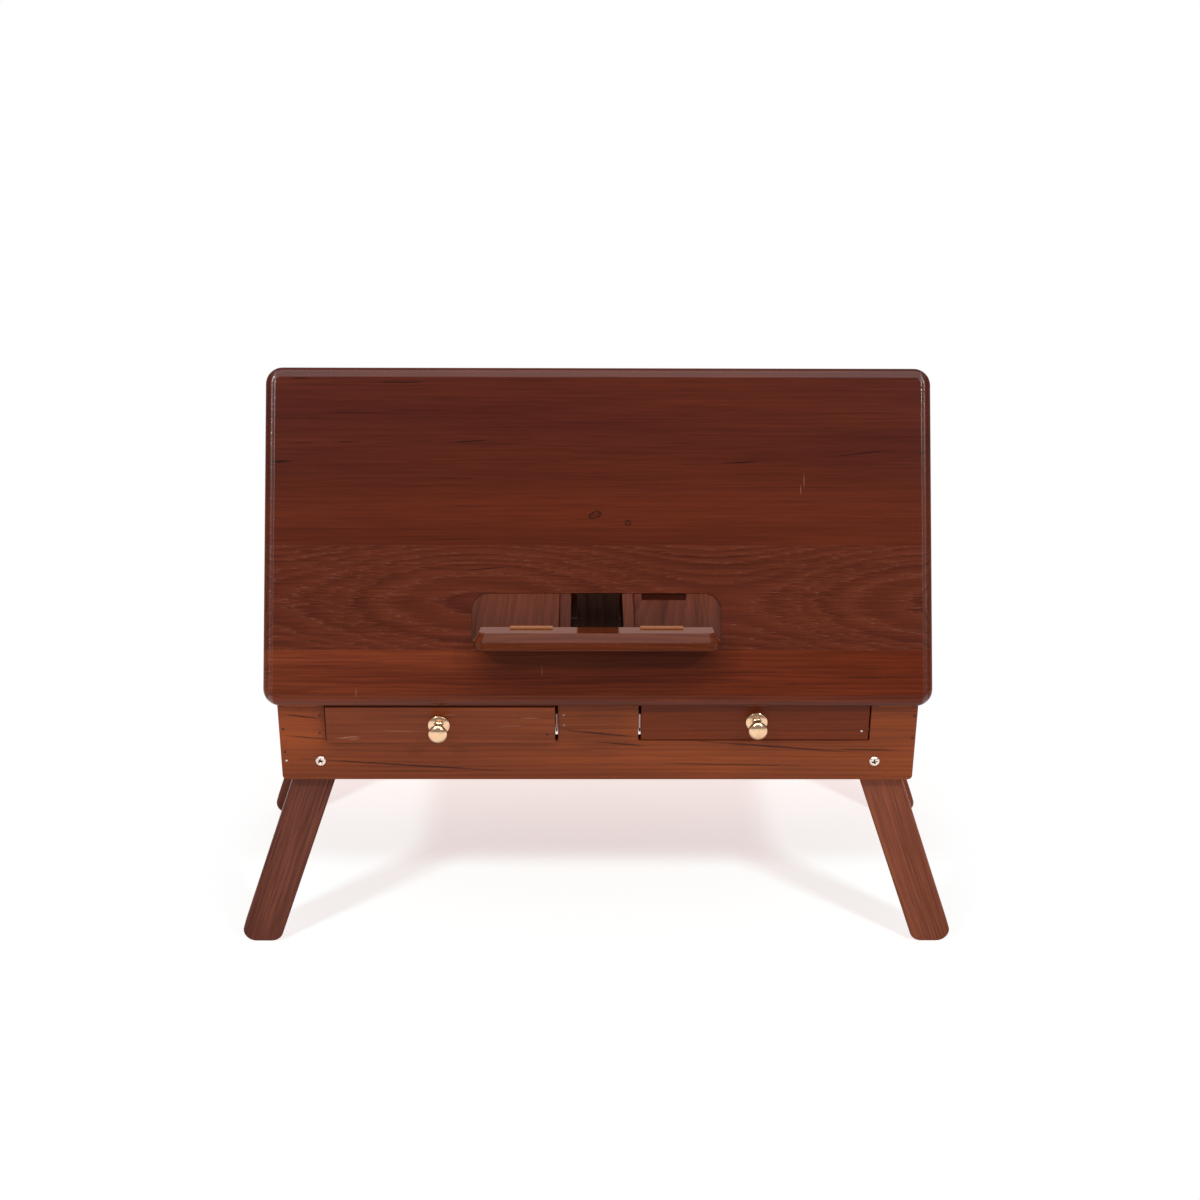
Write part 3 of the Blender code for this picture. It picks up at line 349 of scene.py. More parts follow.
# Planks of the lid
LID_PLANKS = {
    "lower": {"Seed": 3.1, "Side": 0.35, "Depth": 0.12, "Gap": 0.0042, "Waver": 0.006, "Swell": 0.002,
              "Tear": 0.03, "Figure": 0.3, "Banding": 0.6, "Streaks": 0.5, "Flecks": 0.05, "Contrast": 0.45},
    "middle": {"Seed": 7.7, "Side": 0.089, "Depth": 0.050, "Gap": 0.0034, "Waver": 0.003, "Swell": 0.009,
               "Tear": 0.06, "Figure": 0.6, "Banding": 0.25, "Streaks": 0.2, "Flecks": 0.32,
               "Contrast": 0.35},
    "upper": {"Seed": 12.4, "Side": -0.25, "Depth": 0.10, "Gap": 0.0048, "Waver": 0.008, "Swell": 0.003,
              "Tear": 0.03, "Figure": 0.2, "Banding": 0.4, "Streaks": 0.3, "Flecks": 0.0, "Contrast": 0.32},
}
LOW_JOINT, HIGH_JOINT = 0.048, 0.142    # glue lines between the lid's planks, up from its pin
FLAME_START, FLAME_LENGTH, LID_SHEEN_BREAK = -0.313, 0.415, 0.18
PALER, PALER_END = 0.32, 0.25    # the upper plank starts paler at its glue line, and evens out higher up
PLANK_LIFTS = ((0.8, 1.0), (1.3, 1.0), (1.8, 0.0))    # red, green, blue: lower plank leftward, upper plank
STREAK_STRENGTH, STREAK_TEAR = 0.8, 1.1
KNOT_STRENGTH, KNOT_TEAR = 0.9, 0.5
KNOT_RIM, KNOT_CORE, KNOT_HEART = (0.05, 0.35), (0.5, 0.85), 0.35    # a dark ring round a paler heart
SCRATCH_STRENGTH, SCRATCH_TEAR, SCRATCH_DEPTH = 0.28, 0.3, 0.001

# Border of the lid where the grain ripples under a thicker coat
RIM_START, RIM_END, RIM_SOFT_START, RIM_SOFT_END = 0.2898, 0.2955, 0.001, 0.0015
RIM_RIPPLE, RIM_POLISH, RIM_COAT, RIM_COAT_ROUGHNESS = 7.5, 0.03, 0.90, 0.20

# Marks: along the grain, across it, half length, half width, slope; on the lid they count from its pin
LID_STREAKS = ((-0.286, 0.2166, 0.0140, 0.0015, 0.042), (0.129, 0.2166, 0.026, 0.0008, 0.06),
               (0.236, 0.2249, 0.030, 0.0009, 0.115), (-0.119, 0.2351, 0.026, 0.0008, 0.06),
               (-0.226, 0.2344, 0.017, 0.0006, 0.0), (-0.176, 0.2886, 0.027, 0.0010, 0.0),
               (-0.268, 0.2921, 0.010, 0.0009, 0.0), (-0.103, 0.1205, 0.024, 0.0007, 0.086),
               (-0.265, 0.2335, 0.015, 0.0005, 0.0), (0.291, 0.2254, 0.006, 0.0010, 0.0))
LID_KNOTS = ((-0.0031, 0.1691, 0.0075, 0.0045, 0.25), (0.0264, 0.1619, 0.0036, 0.0034, 0.0))
LID_SCRATCHES = ((-0.2161, 0.0095, 0.0004, 0.0050, 0.0), (-0.0504, 0.0302, 0.0004, 0.0075, 0.0),
                 (0.1845, 0.2000, 0.0004, 0.0090, 0.0), (0.1815, 0.1920, 0.0004, 0.0060, 0.0))
FRONT_LINES = ((-0.1769, 0.2055, 0.135, 0.0013, -0.069), (-0.2677, 0.2563, 0.024, 0.0011, -0.136),
               (-0.0003, 0.2389, 0.045, 0.0014, -0.104), (0.0210, 0.2278, 0.034, 0.0012, -0.086),
               (0.1600, 0.2251, 0.105, 0.0013, -0.083), (0.2450, 0.2218, 0.040, 0.0010, -0.011),
               (-0.2600, 0.2340, 0.034, 0.0009, -0.10), (0.1200, 0.2060, 0.090, 0.0009, -0.02))
FRONT_PALE = ((-0.2760, 0.2420, 0.0500, 0.0340, 0.0),)
FRONT_DARK = ((0.0000, 0.2400, 0.0500, 0.0400, 0.0), (0.2000, 0.2000, 0.1000, 0.0200, 0.0))
DRAWER_SCRATCHES = ((-0.2270, 0.2378, 0.0150, 0.0012, 0.10), (-0.2210, 0.2362, 0.0080, 0.0008, 0.16),
                    (-0.1780, 0.2445, 0.0270, 0.0005, -0.02), (-0.0610, 0.2580, 0.0125, 0.0006, 0.0),
                    (-0.1340, 0.2612, 0.0080, 0.0005, 0.0), (-0.0800, 0.2500, 0.0200, 0.0004, 0.0))

# Sets of marks on a plain board, with their ink and strength
FRONT_MARKS = ((FRONT_PALE, SUNNED, 0.55), (FRONT_DARK, INK, 0.2), (FRONT_LINES, INK, 0.75))
DRAWER_MARKS = ((DRAWER_SCRATCHES, SCRATCH, 0.3),)
MARK_TEAR = 0.7

# Bare metal
TARNISH_EDGE, TARNISH_SHARE, TARNISH_ROUGH = (0.35, 0.72), 0.6, 0.12
RUB_ROUGH, RUB_STRENGTH, RUB_DEPTH = 0.10, 0.6, 0.00001
FACING_UP = (0.3, 0.8)    # upward share of a normal, where painted shade starts and is full
PLATE_SHADE, PLATE_SHADED_FOOT, FOOT_SHADE_EDGE = 0.20, 0.0045, 0.0010    # colour left under painted shade, height of the shaded foot, soft edge


def new_finish(name):
    """Material with its tree and its shader."""
    finish = bpy.data.materials.new(name)
    finish.use_nodes = True
    tree = finish.node_tree
    shader = next(node for node in tree.nodes if node.type == "BSDF_PRINCIPLED")
    return finish, tree, shader


def board_place(tree, grain, across, origin):
    """Object coordinates turned so that X runs with the grain and Z goes through the board."""
    turn = Matrix((grain, across, grain.cross(across)))
    sockets = {"Vector": own_place(tree), "Location": -(turn @ origin), "Rotation": turn.to_euler("XYZ")}
    return lay(tree, "ShaderNodeMapping", sockets).outputs[0]


def teak_tone(tone):
    """Colours of a board, by the teak group's names."""
    return dict(TONES[tone], Ink=INK)


def lacquer(tree, shader, colour, roughness, relief, shine):
    """Lacquered wood: colour under a thin coat, with the pores just felt."""
    feed(tree, colour, shader.inputs["Base Color"])
    feed(tree, roughness, shader.inputs["Roughness"])
    bump = lay(tree, "ShaderNodeBump", {"Height": relief, "Strength": 1.0, "Distance": PORE_DEPTH})
    feed(tree, bump.outputs[0], shader.inputs["Normal"])
    shader.inputs["Specular IOR Level"].default_value = shine


def mark_mask(tree, vector, marks, tear):
    """Mask of a set of long marks with torn edges."""
    ragged = centred(tree, cloud(tree, vector, RAGGED_EDGE))
    ragged = maths(tree, "MULTIPLY", ragged, tear)
    mask = 0.0
    for along, up, half_length, half_width, slope in marks:
        mark = placed(tree, mark_group, Vector=vector, Along=along, Up=up, Half_Length=half_length,
                      Half_Width=half_width, Slope=slope, Ragged=ragged)["Mask"]
        mask = maths(tree, "MAXIMUM", mask, mark)
    return mask


def marked(tree, vector, colour, marks, ink, strength, tear):
    """Colour under a set of long marks."""
    mask = mark_mask(tree, vector, marks, tear)
    return tint(tree, maths(tree, "MULTIPLY", mask, strength), colour, ink)


def teak_finish(name, grain, across, origin, tone, seed, shine=BOARD_SHINE, marks=(), dust=None, **figure):
    """Finish of one plain board, with marks at their places in the frame.

    dust is a height, below which the board is darkened as painted shade, and the side that is, or 0 for both.
    """
    finish, tree, shader = new_finish(name)
    vector = board_place(tree, grain, across, origin)
    board = placed(tree, teak_group, Vector=vector, Seed=seed, **teak_tone(tone), **figure)
    colour = board["Colour"]
    for places, ink, strength in marks:
        moved = [(along - origin.x, up - origin.z, *rest) for along, up, *rest in places]
        colour = marked(tree, vector, colour, moved, ink, strength, MARK_TEAR)
    # Painted shade: the board is darker below a height, on one side or both.
    if dust:
        height, side = dust
        dim = spread(tree, parts_of(tree, own_place(tree))[2], height - WELL_SHADE_EDGE, height, WELL_SHADE, 1.0)
        if side:
            inward = maths(tree, "MULTIPLY", parts_of(tree, vector)[2], side)
            dim = maths(tree, "MAXIMUM", dim, maths(tree, "LESS_THAN", inward, 0.0))
        colour = shaded(tree, colour, dim)
    lacquer(tree, shader, colour, board["Roughness"], board["Relief"], shine)
    return finish


def lid_finish(name, grain, across, origin):
    """Finish of the lid: three planks side by side, the middle one with flames, two knots and a few marks."""
    finish, tree, shader = new_finish(name)
    vector = board_place(tree, grain, across, origin)
    along, up, out = parts_of(tree, vector)
    above_low = maths(tree, "GREATER_THAN", up, LOW_JOINT)
    above_high = maths(tree, "GREATER_THAN", up, HIGH_JOINT)
    lower, middle, upper = (LID_PLANKS[word] for word in ("lower", "middle", "upper"))
    values = {}
    for key in lower:
        step = maths(tree, "MULTIPLY_ADD", above_low, middle[key] - lower[key], lower[key])
        values[key] = maths(tree, "MULTIPLY_ADD", above_high, upper[key] - middle[key], step)
    lower, middle, upper = (teak_tone("lid_" + word) for word in ("lower", "middle", "upper"))
    for key in lower:
        step = tint(tree, above_low, lower[key], middle[key])
        values[key] = tint(tree, above_high, step, upper[key])
    board = placed(tree, teak_group, Vector=vector, Swell_Start=FLAME_START, Swell_Length=FLAME_LENGTH,
                   Sheen_Break=LID_SHEEN_BREAK, **values)
    paler = maths(tree, "MULTIPLY", above_high, spread(tree, up, HIGH_JOINT, PALER_END, PALER, 0.0))
    leftward = maths(tree, "MULTIPLY", maths(tree, "SUBTRACT", above_low, 1.0), along)
    lifts = [maths(tree, "MULTIPLY_ADD", leftward, tilt, maths(tree, "MULTIPLY_ADD", paler, reach, 1.0))
             for tilt, reach in PLANK_LIFTS]
    lifts = lay(tree, "ShaderNodeCombineXYZ", dict(enumerate(lifts))).outputs[0]
    colour = tint(tree, 1.0, board["Colour"], lifts, "MULTIPLY")
    colour = marked(tree, vector, colour, LID_STREAKS, INK, STREAK_STRENGTH, STREAK_TEAR)
    knot = mark_mask(tree, vector, LID_KNOTS, KNOT_TEAR)
    ring = spread(tree, knot, *KNOT_RIM)
    ring = maths(tree, "MULTIPLY", ring, spread(tree, knot, *KNOT_CORE, 1.0, KNOT_HEART))
    colour = tint(tree, maths(tree, "MULTIPLY", ring, KNOT_STRENGTH), colour, KNOT_RING)
    on_face = maths(tree, "GREATER_THAN", out, lid_face - SCRATCH_DEPTH)
    strength = maths(tree, "MULTIPLY", on_face, SCRATCH_STRENGTH)
    colour = marked(tree, vector, colour, LID_SCRATCHES, SCRATCH, strength, SCRATCH_TEAR)
    outward = maths(tree, "ABSOLUTE", along)
    rim = spread(tree, outward, RIM_START, RIM_START + RIM_SOFT_START)
    rim = maths(tree, "MULTIPLY", rim, spread(tree, outward, RIM_END - RIM_SOFT_END, RIM_END, 1.0, 0.0))
    ripple = maths(tree, "MULTIPLY", cloud(tree, vector, RIM_WAVES), RIM_RIPPLE)
    relief = maths(tree, "MULTIPLY_ADD", rim, ripple, board["Relief"])
    roughness = maths(tree, "MULTIPLY_ADD", rim, -RIM_POLISH, board["Roughness"])
    lacquer(tree, shader, colour, roughness, relief, LID_SHINE)
    feed(tree, maths(tree, "MULTIPLY", rim, RIM_COAT), shader.inputs["Coat Weight"])
    shader.inputs["Coat Roughness"].default_value = RIM_COAT_ROUGHNESS
    return finish


def metal_finish(name, colour, dull, roughness, tarnish_size, shade_left=1.0, shaded_below=0.0):
    """Bare metal with tarnish and fine rubbing marks; shade_left darkens what faces up or lies low, as painted
    shade.
    """
    finish, tree, shader = new_finish(name)
    coordinates = own_place(tree)
    blotch = cloud(tree, coordinates, (tarnish_size, tarnish_size), 4.0, 0.6)
    rubbed = cloud(tree, coordinates, RUBBING)
    worn = spread(tree, blotch, *TARNISH_EDGE)
    metal = tint(tree, maths(tree, "MULTIPLY", worn, TARNISH_SHARE), colour, dull)
    # Painted shade: darker on faces that look up, and at the foot below a height.
    if shade_left < 1.0:
        upward = parts_of(tree, lay(tree, "ShaderNodeNewGeometry").outputs["Normal"])[2]
        height = parts_of(tree, coordinates)[2]
        shaded_foot = spread(tree, height, shaded_below - FOOT_SHADE_EDGE, shaded_below, shade_left, 1.0)
        dust = spread(tree, upward, *FACING_UP, 1.0, shade_left)
        metal = shaded(tree, metal, maths(tree, "MULTIPLY", dust, shaded_foot))
    feed(tree, metal, shader.inputs["Base Color"])
    grain = maths(tree, "MULTIPLY_ADD", rubbed, RUB_ROUGH, roughness)
    feed(tree, maths(tree, "MULTIPLY_ADD", worn, TARNISH_ROUGH, grain), shader.inputs["Roughness"])
    bump = lay(tree, "ShaderNodeBump", {"Height": rubbed, "Strength": RUB_STRENGTH, "Distance": RUB_DEPTH})
    feed(tree, bump.outputs[0], shader.inputs["Normal"])
    shader.inputs["Metallic"].default_value = 1.0
    return finish


# Metals: bright colour, dull colour, roughness, tarnish in cycles per metre
brass = metal_finish("polished_brass", linear(240, 202, 166), linear(222, 172, 132), 0.12, 160.0)
hinge_brass = metal_finish("hinge_brass", linear(240, 160, 96), linear(206, 128, 76), 0.30, 220.0)
steel = metal_finish("bright_steel", linear(214, 200, 196), linear(170, 150, 144), 0.24, 240.0)
# The catch plates' colours are made paler to light the part the lid shades, and their foot and upward faces are
# darkened: painted light and shade.
plate_steel = metal_finish("plate_steel", linear(206, 174, 168), linear(184, 152, 144), 0.70, 240.0,
                           PLATE_SHADE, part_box("left_catch_plate")[0].z + PLATE_SHADED_FOOT)
screw_steel = metal_finish("screw_steel", linear(250, 230, 218), linear(226, 200, 186), 0.22, 240.0)
# The cross slots' faces are painted dark: painted shade in the slot.
slot_painted_shade = metal_finish("slot_painted_shade", linear(70, 46, 38), linear(40, 26, 22), 0.6, 300.0)
nail_iron = metal_finish("nail_iron", linear(84, 62, 54), linear(56, 40, 34), 0.55, 300.0)
grey_steel = metal_finish("grey_steel", linear(150, 128, 120), linear(96, 78, 72), 0.40, 300.0)


# Shaping

LID_HALF, MOULDING, CORNER = 0.3, 0.00827, 0.0067    # of the lid's face: half width, edge and corner
BORDER, BORDER_FALL = 0.0016, 0.00043    # of the lid's face, eased down to the moulding
CUT_OUT_REACH = 0.14    # half width that holds the lid's cut-out and not its border
ON_FACE = 0.00002    # depth within which a point counts as on the lid's face
FACING = 0.999    # least share of a normal that looks the way asked for
WELD, FLAT = 0.000002, math.radians(0.5)    # gap that is closed, angle that is taken as flat
SMOOTH, SHARP, HEAD_SMOOTH = math.radians(38.0), math.radians(35.0), math.radians(50.0)
NORMAL_WEIGHT = 90
FINE_ARRIS, BOARD_ARRIS, PROP_ARRIS, SHELF_ARRIS, NUT_ARRIS = 0.0004, 0.0005, 0.0006, 0.0003, 0.0002
SLOT_LONG, SLOT_WIDE, SLOT_DEEP = 0.0048, 0.0012, 0.0020    # of the cutter, half of it above the crown
SLOT_TURN = {"left": math.radians(35.0), "right": math.radians(12.0)}
HEAD_SIDES = 24
DOME = ((0.18, 0.45), (0.22, 0.35), (0.25, 0.2))    # steps of a head: inset by its radius, lift by its rise
RECESS = (0.06, -0.5)    # likewise, for the dip in a screw's head


def alone(piece):
    """Only this piece selected, and active."""
    if bpy.context.object and bpy.context.object.mode != "OBJECT":
        bpy.ops.object.mode_set(mode="OBJECT")
    bpy.ops.object.select_all(action="DESELECT")
    piece.select_set(True)
    bpy.context.view_layer.objects.active = piece


def apply_modifier(piece, kind, **settings):
    """Modifier added to the active piece and applied at once."""
    modifier = piece.modifiers.new(kind.lower(), kind)
    for name, value in settings.items():
        setattr(modifier, name, value)
    bpy.ops.object.modifier_apply(modifier=modifier.name)


def select_none(kind):
    """Nothing selected in the active piece, ready for picking faces or vertices."""
    bpy.ops.object.mode_set(mode="EDIT")
    bpy.ops.mesh.select_mode(type=kind)
    bpy.ops.mesh.select_all(action="DESELECT")
    bpy.ops.object.mode_set(mode="OBJECT")


def on_lid_face(place):
    """Whether a place, counted from the lid's pin, lies on the lid's face."""
    return lid_face - place.dot(lid_out) < ON_FACE


def lower_border(piece):
    """Ease the border of the lid's face down towards its moulding."""
    select_none("FACE")
    for face in piece.data.polygons:
        face.select = face.normal.dot(lid_out) > FACING and on_lid_face(face.center - LID_PIN)
    bpy.ops.object.mode_set(mode="EDIT")
    bpy.ops.mesh.inset(thickness=BORDER, use_even_offset=True)
    select_none("VERT")
    low_up, high_up = (pick((v.co - LID_PIN).dot(lid_up) for v in piece.data.vertices) for pick in (min, max))
    corner = LID_HALF - MOULDING - CORNER
    middle_up = (low_up + high_up) / 2
    reach_up = (high_up - low_up) / 2 - MOULDING - CORNER
    for vertex in piece.data.vertices:
        place = vertex.co - LID_PIN
        along = place.dot(lid_up)
        inward = min(LID_HALF - abs(place.x), along - low_up, high_up - along)
        on_border = inward < MOULDING + BORDER / 2
        past = Vector((abs(place.x) - corner, abs(along - middle_up) - reach_up))
        if min(past) > 0:
            on_border = past.length > CORNER - BORDER / 2
        vertex.select = on_lid_face(place) and on_border
    bpy.ops.object.mode_set(mode="EDIT")
    bpy.ops.transform.translate(value=-lid_out * BORDER_FALL)
    bpy.ops.object.mode_set(mode="OBJECT")


def lid_arris(*ends):
    """How far the lacquer rounds an arris of the lid: the face's edges round the cut-out."""
    places = [end - LID_PIN for end in ends]
    return 1.0 if all(on_lid_face(place) and abs(place.x) < CUT_OUT_REACH for place in places) else 0.0


def finished(node, finish, ease=0.0, weigh=None, shape=None):
    """Welded copy of a CAD node with eased arrises, which stands for the node."""
    piece = bpy.data.objects.new(node + "_finished", frame["nodes"][node].data.copy())
    bpy.context.scene.collection.objects.link(piece)
    alone(piece)
    bpy.ops.object.mode_set(mode="EDIT")
    bpy.ops.mesh.select_all(action="SELECT")
    bpy.ops.mesh.remove_doubles(threshold=WELD)
    bpy.ops.mesh.dissolve_limited(angle_limit=FLAT)
    bpy.ops.object.mode_set(mode="OBJECT")
    if shape:
        shape(piece)
    if weigh:
        weight = piece.data.attributes.new("bevel_weight_edge", "FLOAT", "EDGE")
        for edge in piece.data.edges:
            weight.data[edge.index].value = weigh(*(piece.data.vertices[index].co for index in edge.vertices))
        apply_modifier(piece, "BEVEL", width=ease, segments=3, limit_method="WEIGHT", loop_slide=False)
        bpy.ops.object.shade_smooth_by_angle(angle=SMOOTH)
    elif ease:
        bpy.ops.object.shade_smooth()
        apply_modifier(piece, "BEVEL", width=ease, segments=2, limit_method="ANGLE", angle_limit=SHARP)
    else:
        bpy.ops.object.shade_smooth_by_angle(angle=SMOOTH)
    if ease:
        apply_modifier(piece, "WEIGHTED_NORMAL", mode="FACE_AREA", weight=NORMAL_WEIGHT, keep_sharp=True)
    if finish.name not in piece.data.materials:
        piece.data.materials.clear()
        piece.data.materials.append(finish)
    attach(piece, node_body[node])
    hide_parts(node)


def cross_slot(end, word):
    """Cut for a cross slot in the crown of a pivot screw's head, its faces painted dark as shade in the slot."""
    node = end + "_" + word + "_pivot_screw"
    low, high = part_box(node)
    crown = Vector(((low.x + high.x) / 2, low.y if end == "front" else high.y, (low.z + high.z) / 2))

    def cut(piece):
        bpy.ops.object.select_all(action="DESELECT")
        bpy.ops.mesh.primitive_cube_add(size=1.0, location=crown)
        cutter = bpy.context.object
        bpy.ops.object.mode_set(mode="EDIT")
        bpy.ops.mesh.select_all(action="SELECT")
        bpy.ops.transform.resize(value=(SLOT_LONG, SLOT_DEEP, SLOT_WIDE))
        bpy.ops.mesh.duplicate()
        bpy.ops.transform.resize(value=(SLOT_WIDE / SLOT_LONG, 1.0, SLOT_LONG / SLOT_WIDE))
        bpy.ops.mesh.select_all(action="SELECT")
        bpy.ops.transform.rotate(value=SLOT_TURN[word], orient_axis="Y", center_override=crown)
        bpy.ops.object.mode_set(mode="OBJECT")
        cutter.data.materials.append(slot_painted_shade)
        piece.data.materials.clear()
        piece.data.materials.append(screw_steel)
        alone(piece)
        apply_modifier(piece, "BOOLEAN", operation="DIFFERENCE", object=cutter, solver="EXACT", use_self=True,
                       material_mode="TRANSFER")
        bpy.data.objects.remove(cutter)

    return cut


def small_head(name, radius, rise, crossed):
    """Low domed head of a nail or screw at the origin, looking up."""
    bpy.ops.object.select_all(action="DESELECT")
    low = (0, 0, -rise / 2)
    bpy.ops.mesh.primitive_cylinder_add(vertices=HEAD_SIDES, radius=radius, depth=rise, location=low)
    head = bpy.context.object
    head.name = name
    select_none("FACE")
    for face in head.data.polygons:
        face.select = face.normal.z > FACING
    bpy.ops.object.mode_set(mode="EDIT")
    for inset, lift in (*DOME, RECESS) if crossed else DOME:
        bpy.ops.mesh.inset(thickness=inset * radius)
        bpy.ops.transform.translate(value=(0, 0, lift * rise))
    bpy.ops.object.mode_set(mode="OBJECT")
    bpy.ops.object.shade_smooth_by_angle(angle=HEAD_SMOOTH)
    return head


def set_head(pattern, name, spot, outward, finish, body):
    """Copy of a small head, seated at a spot and looking outward."""
    piece = bpy.data.objects.new(name, pattern.data.copy())
    bpy.context.scene.collection.objects.link(piece)
    turn = Z.rotation_difference(outward).to_matrix().to_4x4()
    piece.data.transform(Matrix.Translation(spot) @ turn)
    piece.data.materials.clear()
    piece.data.materials.append(finish)
    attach(piece, body)


# Boards

PLAIN = {"Figure": 0.45, "Banding": 0.6, "Streaks": 0.4, "Flecks": 0.35, "Sheen_Break": 0.30}
BARE = {"Figure": 0.45, "Banding": 0.5, "Streaks": 0.4, "Flecks": 0.3, "Sheen_Break": 0.48}
FLAP = {"Side": 0.012, "Depth": 0.05, "Gap": 0.0045, "Waver": 0.006, "Figure": 0.4, "Banding": 0.5,
        "Streaks": 0.3, "Flecks": 0.2, "Contrast": 0.25, "Sheen_Break": 0.14}
STOP_BLOCK, PROP = dict(BARE, Side=0.05), dict(BARE, Side=0.04)
FRAME = {"Side": 0.25, "Depth": 0.07, "Gap": 0.0050, "Waver": 0.005, "Swell": 0.003, "Swell_Length": 0.5,
         "Figure": 0.3, "Banding": 0.6, "Streaks": 0.3, "Flecks": 0.08, "Contrast": 0.2, "Sheen_Break": 0.30}
BOX_RINGS = {"Side": 0.05, "Depth": 0.08, "Gap": 0.0045}
COVER = dict(BARE, Side=0.14, Depth=0.09, Gap=0.006, Waver=0.006, Swell=0.006)
FLOORING = dict(BARE, Side=0.06, Depth=0.07)
DRAWER = {"Figure": 0.25, "Banding": 0.6, "Streaks": 0.3, "Flecks": 0.15, "Contrast": 0.25,
          "Sheen_Break": 0.30}
DRAWER_RINGS = {"Depth": 0.09, "Gap": 0.0045, "Waver": 0.003, "Swell": 0.002}
DRAWER_PITH, DRAWER_PITH_STEP = 0.3, 0.05    # how far aside the pith lies, and how much less per board
DRAWER_SWELL = 0.05    # how far aside the swell starts
DRAWER_BOARDS = (("front", X, Z), ("back", X, Z), ("inner_side", Y, Z), ("outer_side", Y, Z),
                 ("bottom", X, Y))    # with the grain and the way across it
LEG = {"Depth": 0.03, "Gap": 0.0045, "Waver": 0.006, "Swell": 0.004, "Tear": 0.12, "Figure": 0.25,
       "Banding": 0.5, "Flecks": 0.1, "Sheen_Break": 0.36}
LEG_STREAKS, LEG_CONTRAST = {"left": 1.0, "right": 0.6}, {"left": 0.65, "right": 0.5}
LEG_PITH = 0.045    # how far aside the pith lies

# Seeds of the grain, with the steps from side to side, board to board or front to rear
FLAP_SEED, BLOCK_SEED, PROP_SEED, SHELF_SEED, WELL_SEED = 5.3, 8.8, 9.6, 41.2, 43.9
FRONT_SEED, BACK_SEED, FRONT_SWELL, BACK_SWELL = 20.3, 25.0, 0.1, 0.3    # and where the swells start
BOX_SEED, BOX_SIDE_STEP, BOX_BOARD_STEP, COVER_STEP = 30.0, 6.3, 1.9, 9.1
DRAWER_SEED, DRAWER_SIDE_STEP, DRAWER_BOARD_STEP = 52.0, 7.1, 2.3
LEG_SEED, LEG_SIDE_STEP, LEG_REAR_STEP = 63.0, 3.7, 17.0


def dress_board(node, grain, across, tone, seed, ease=0.0, **looks):
    """One plain board in its own teak."""
    finish = teak_finish("teak_" + node, grain, across, middle_of(node), tone, seed, **looks)
    finished(node, finish, ease)


def dress_lid():
    """Lid, flap, stop block and prop."""
    lid = lid_finish("teak_lid_boards", X, lid_up, LID_PIN)
    finished("lid_panel", lid, FINE_ARRIS, lid_arris, lower_border)
    dress_board("ledge_flap", X, flap_out, "flap", FLAP_SEED, BOARD_ARRIS, shine=FLAP_SHINE, **FLAP)
    dress_board("flap_stop_block", X, lid_up, "inner", BLOCK_SEED, FINE_ARRIS, **STOP_BLOCK)
    dress_board("prop_strut", prop_down, X, "prop", PROP_SEED, PROP_ARRIS, **PROP)


def dress_box():
    """Boards of the box, its covers and its catch plates."""
    dress_board("front_board", X, Z, "frame", FRONT_SEED, BOARD_ARRIS, marks=FRONT_MARKS,
                Swell_Start=FRONT_SWELL, **FRAME)
    dress_board("back_board", X, Z, "frame", BACK_SEED, BOARD_ARRIS, Swell_Start=BACK_SWELL, **FRAME)
    for word, side in SIDES.items():
        seed = BOX_SEED + BOX_SIDE_STEP * side
        for index, name in enumerate(("side_board", "divider", "guide", "cover_cleat")):
            node = word + "_" + name
            tone, figure = ("frame", PLAIN) if name == "side_board" else ("inner", BARE)
            # A divider is darkened below its top on the side that faces the well: painted shade.
            dust = (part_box(node)[1].z - WELL_SHADE_TOP, -side) if name == "divider" else None
            ease = 0.0 if name == "divider" else BOARD_ARRIS
            dress_board(node, Y, Z, tone, seed + BOX_BOARD_STEP * index, ease, dust=dust, **BOX_RINGS,
                        **figure)
        dress_board(word + "_cover", Y, -X, "inner", seed + COVER_STEP, **COVER)
        finished(word + "_catch_plate", plate_steel)
    dress_board("drawer_shelf", X, Y, "inner", SHELF_SEED, SHELF_ARRIS, **FLOORING)
    # The whole well floor is darkened: painted shade.
    dress_board("well_floor", Y, -X, "inner", WELL_SEED, SHELF_ARRIS, dust=(ALL_OVER, 0.0), **FLOORING)


def dress_drawers():
    """Boards of the drawers, their knobs and the knobs' screws."""
    for word, side in SIDES.items():
        seed = DRAWER_SEED + DRAWER_SIDE_STEP * side
        for index, (name, grain, across) in enumerate(DRAWER_BOARDS):
            node = word + "_drawer_" + name
            tone, figure = ("drawer_" + word, DRAWER) if name == "front" else ("inner", BARE)
            marks = DRAWER_MARKS if node == "left_drawer_front" else ()
            dress_board(node, grain, across, tone, seed + DRAWER_BOARD_STEP * index, FINE_ARRIS, marks=marks,
                        Side=DRAWER_PITH - DRAWER_PITH_STEP * index, Swell_Start=DRAWER_SWELL * side,
                        **DRAWER_RINGS, **figure)
        finished(word + "_knob", brass)
        finished(word + "_knob_screw", steel)


def dress_legs():
    """Legs with their pivot screws and nuts."""
    for end in ENDS:
        for word, side in SIDES.items():
            name = end + "_" + word
            down = Vector((side * math.sin(LEG_SPLAY), 0, -math.cos(LEG_SPLAY)))
            seed = LEG_SEED + LEG_SIDE_STEP * side + LEG_REAR_STEP * ENDS.index(end)
            dress_board(name + "_leg", down, Y.cross(down), "leg_" + word, seed, FINE_ARRIS, shine=LEG_SHINE,
                        Side=LEG_PITH * side, Streaks=LEG_STREAKS[word], Contrast=LEG_CONTRAST[word], **LEG)
            finished(name + "_pivot_screw", screw_steel, shape=cross_slot(end, word))
            finished(name + "_pivot_nut", grey_steel, NUT_ARRIS)


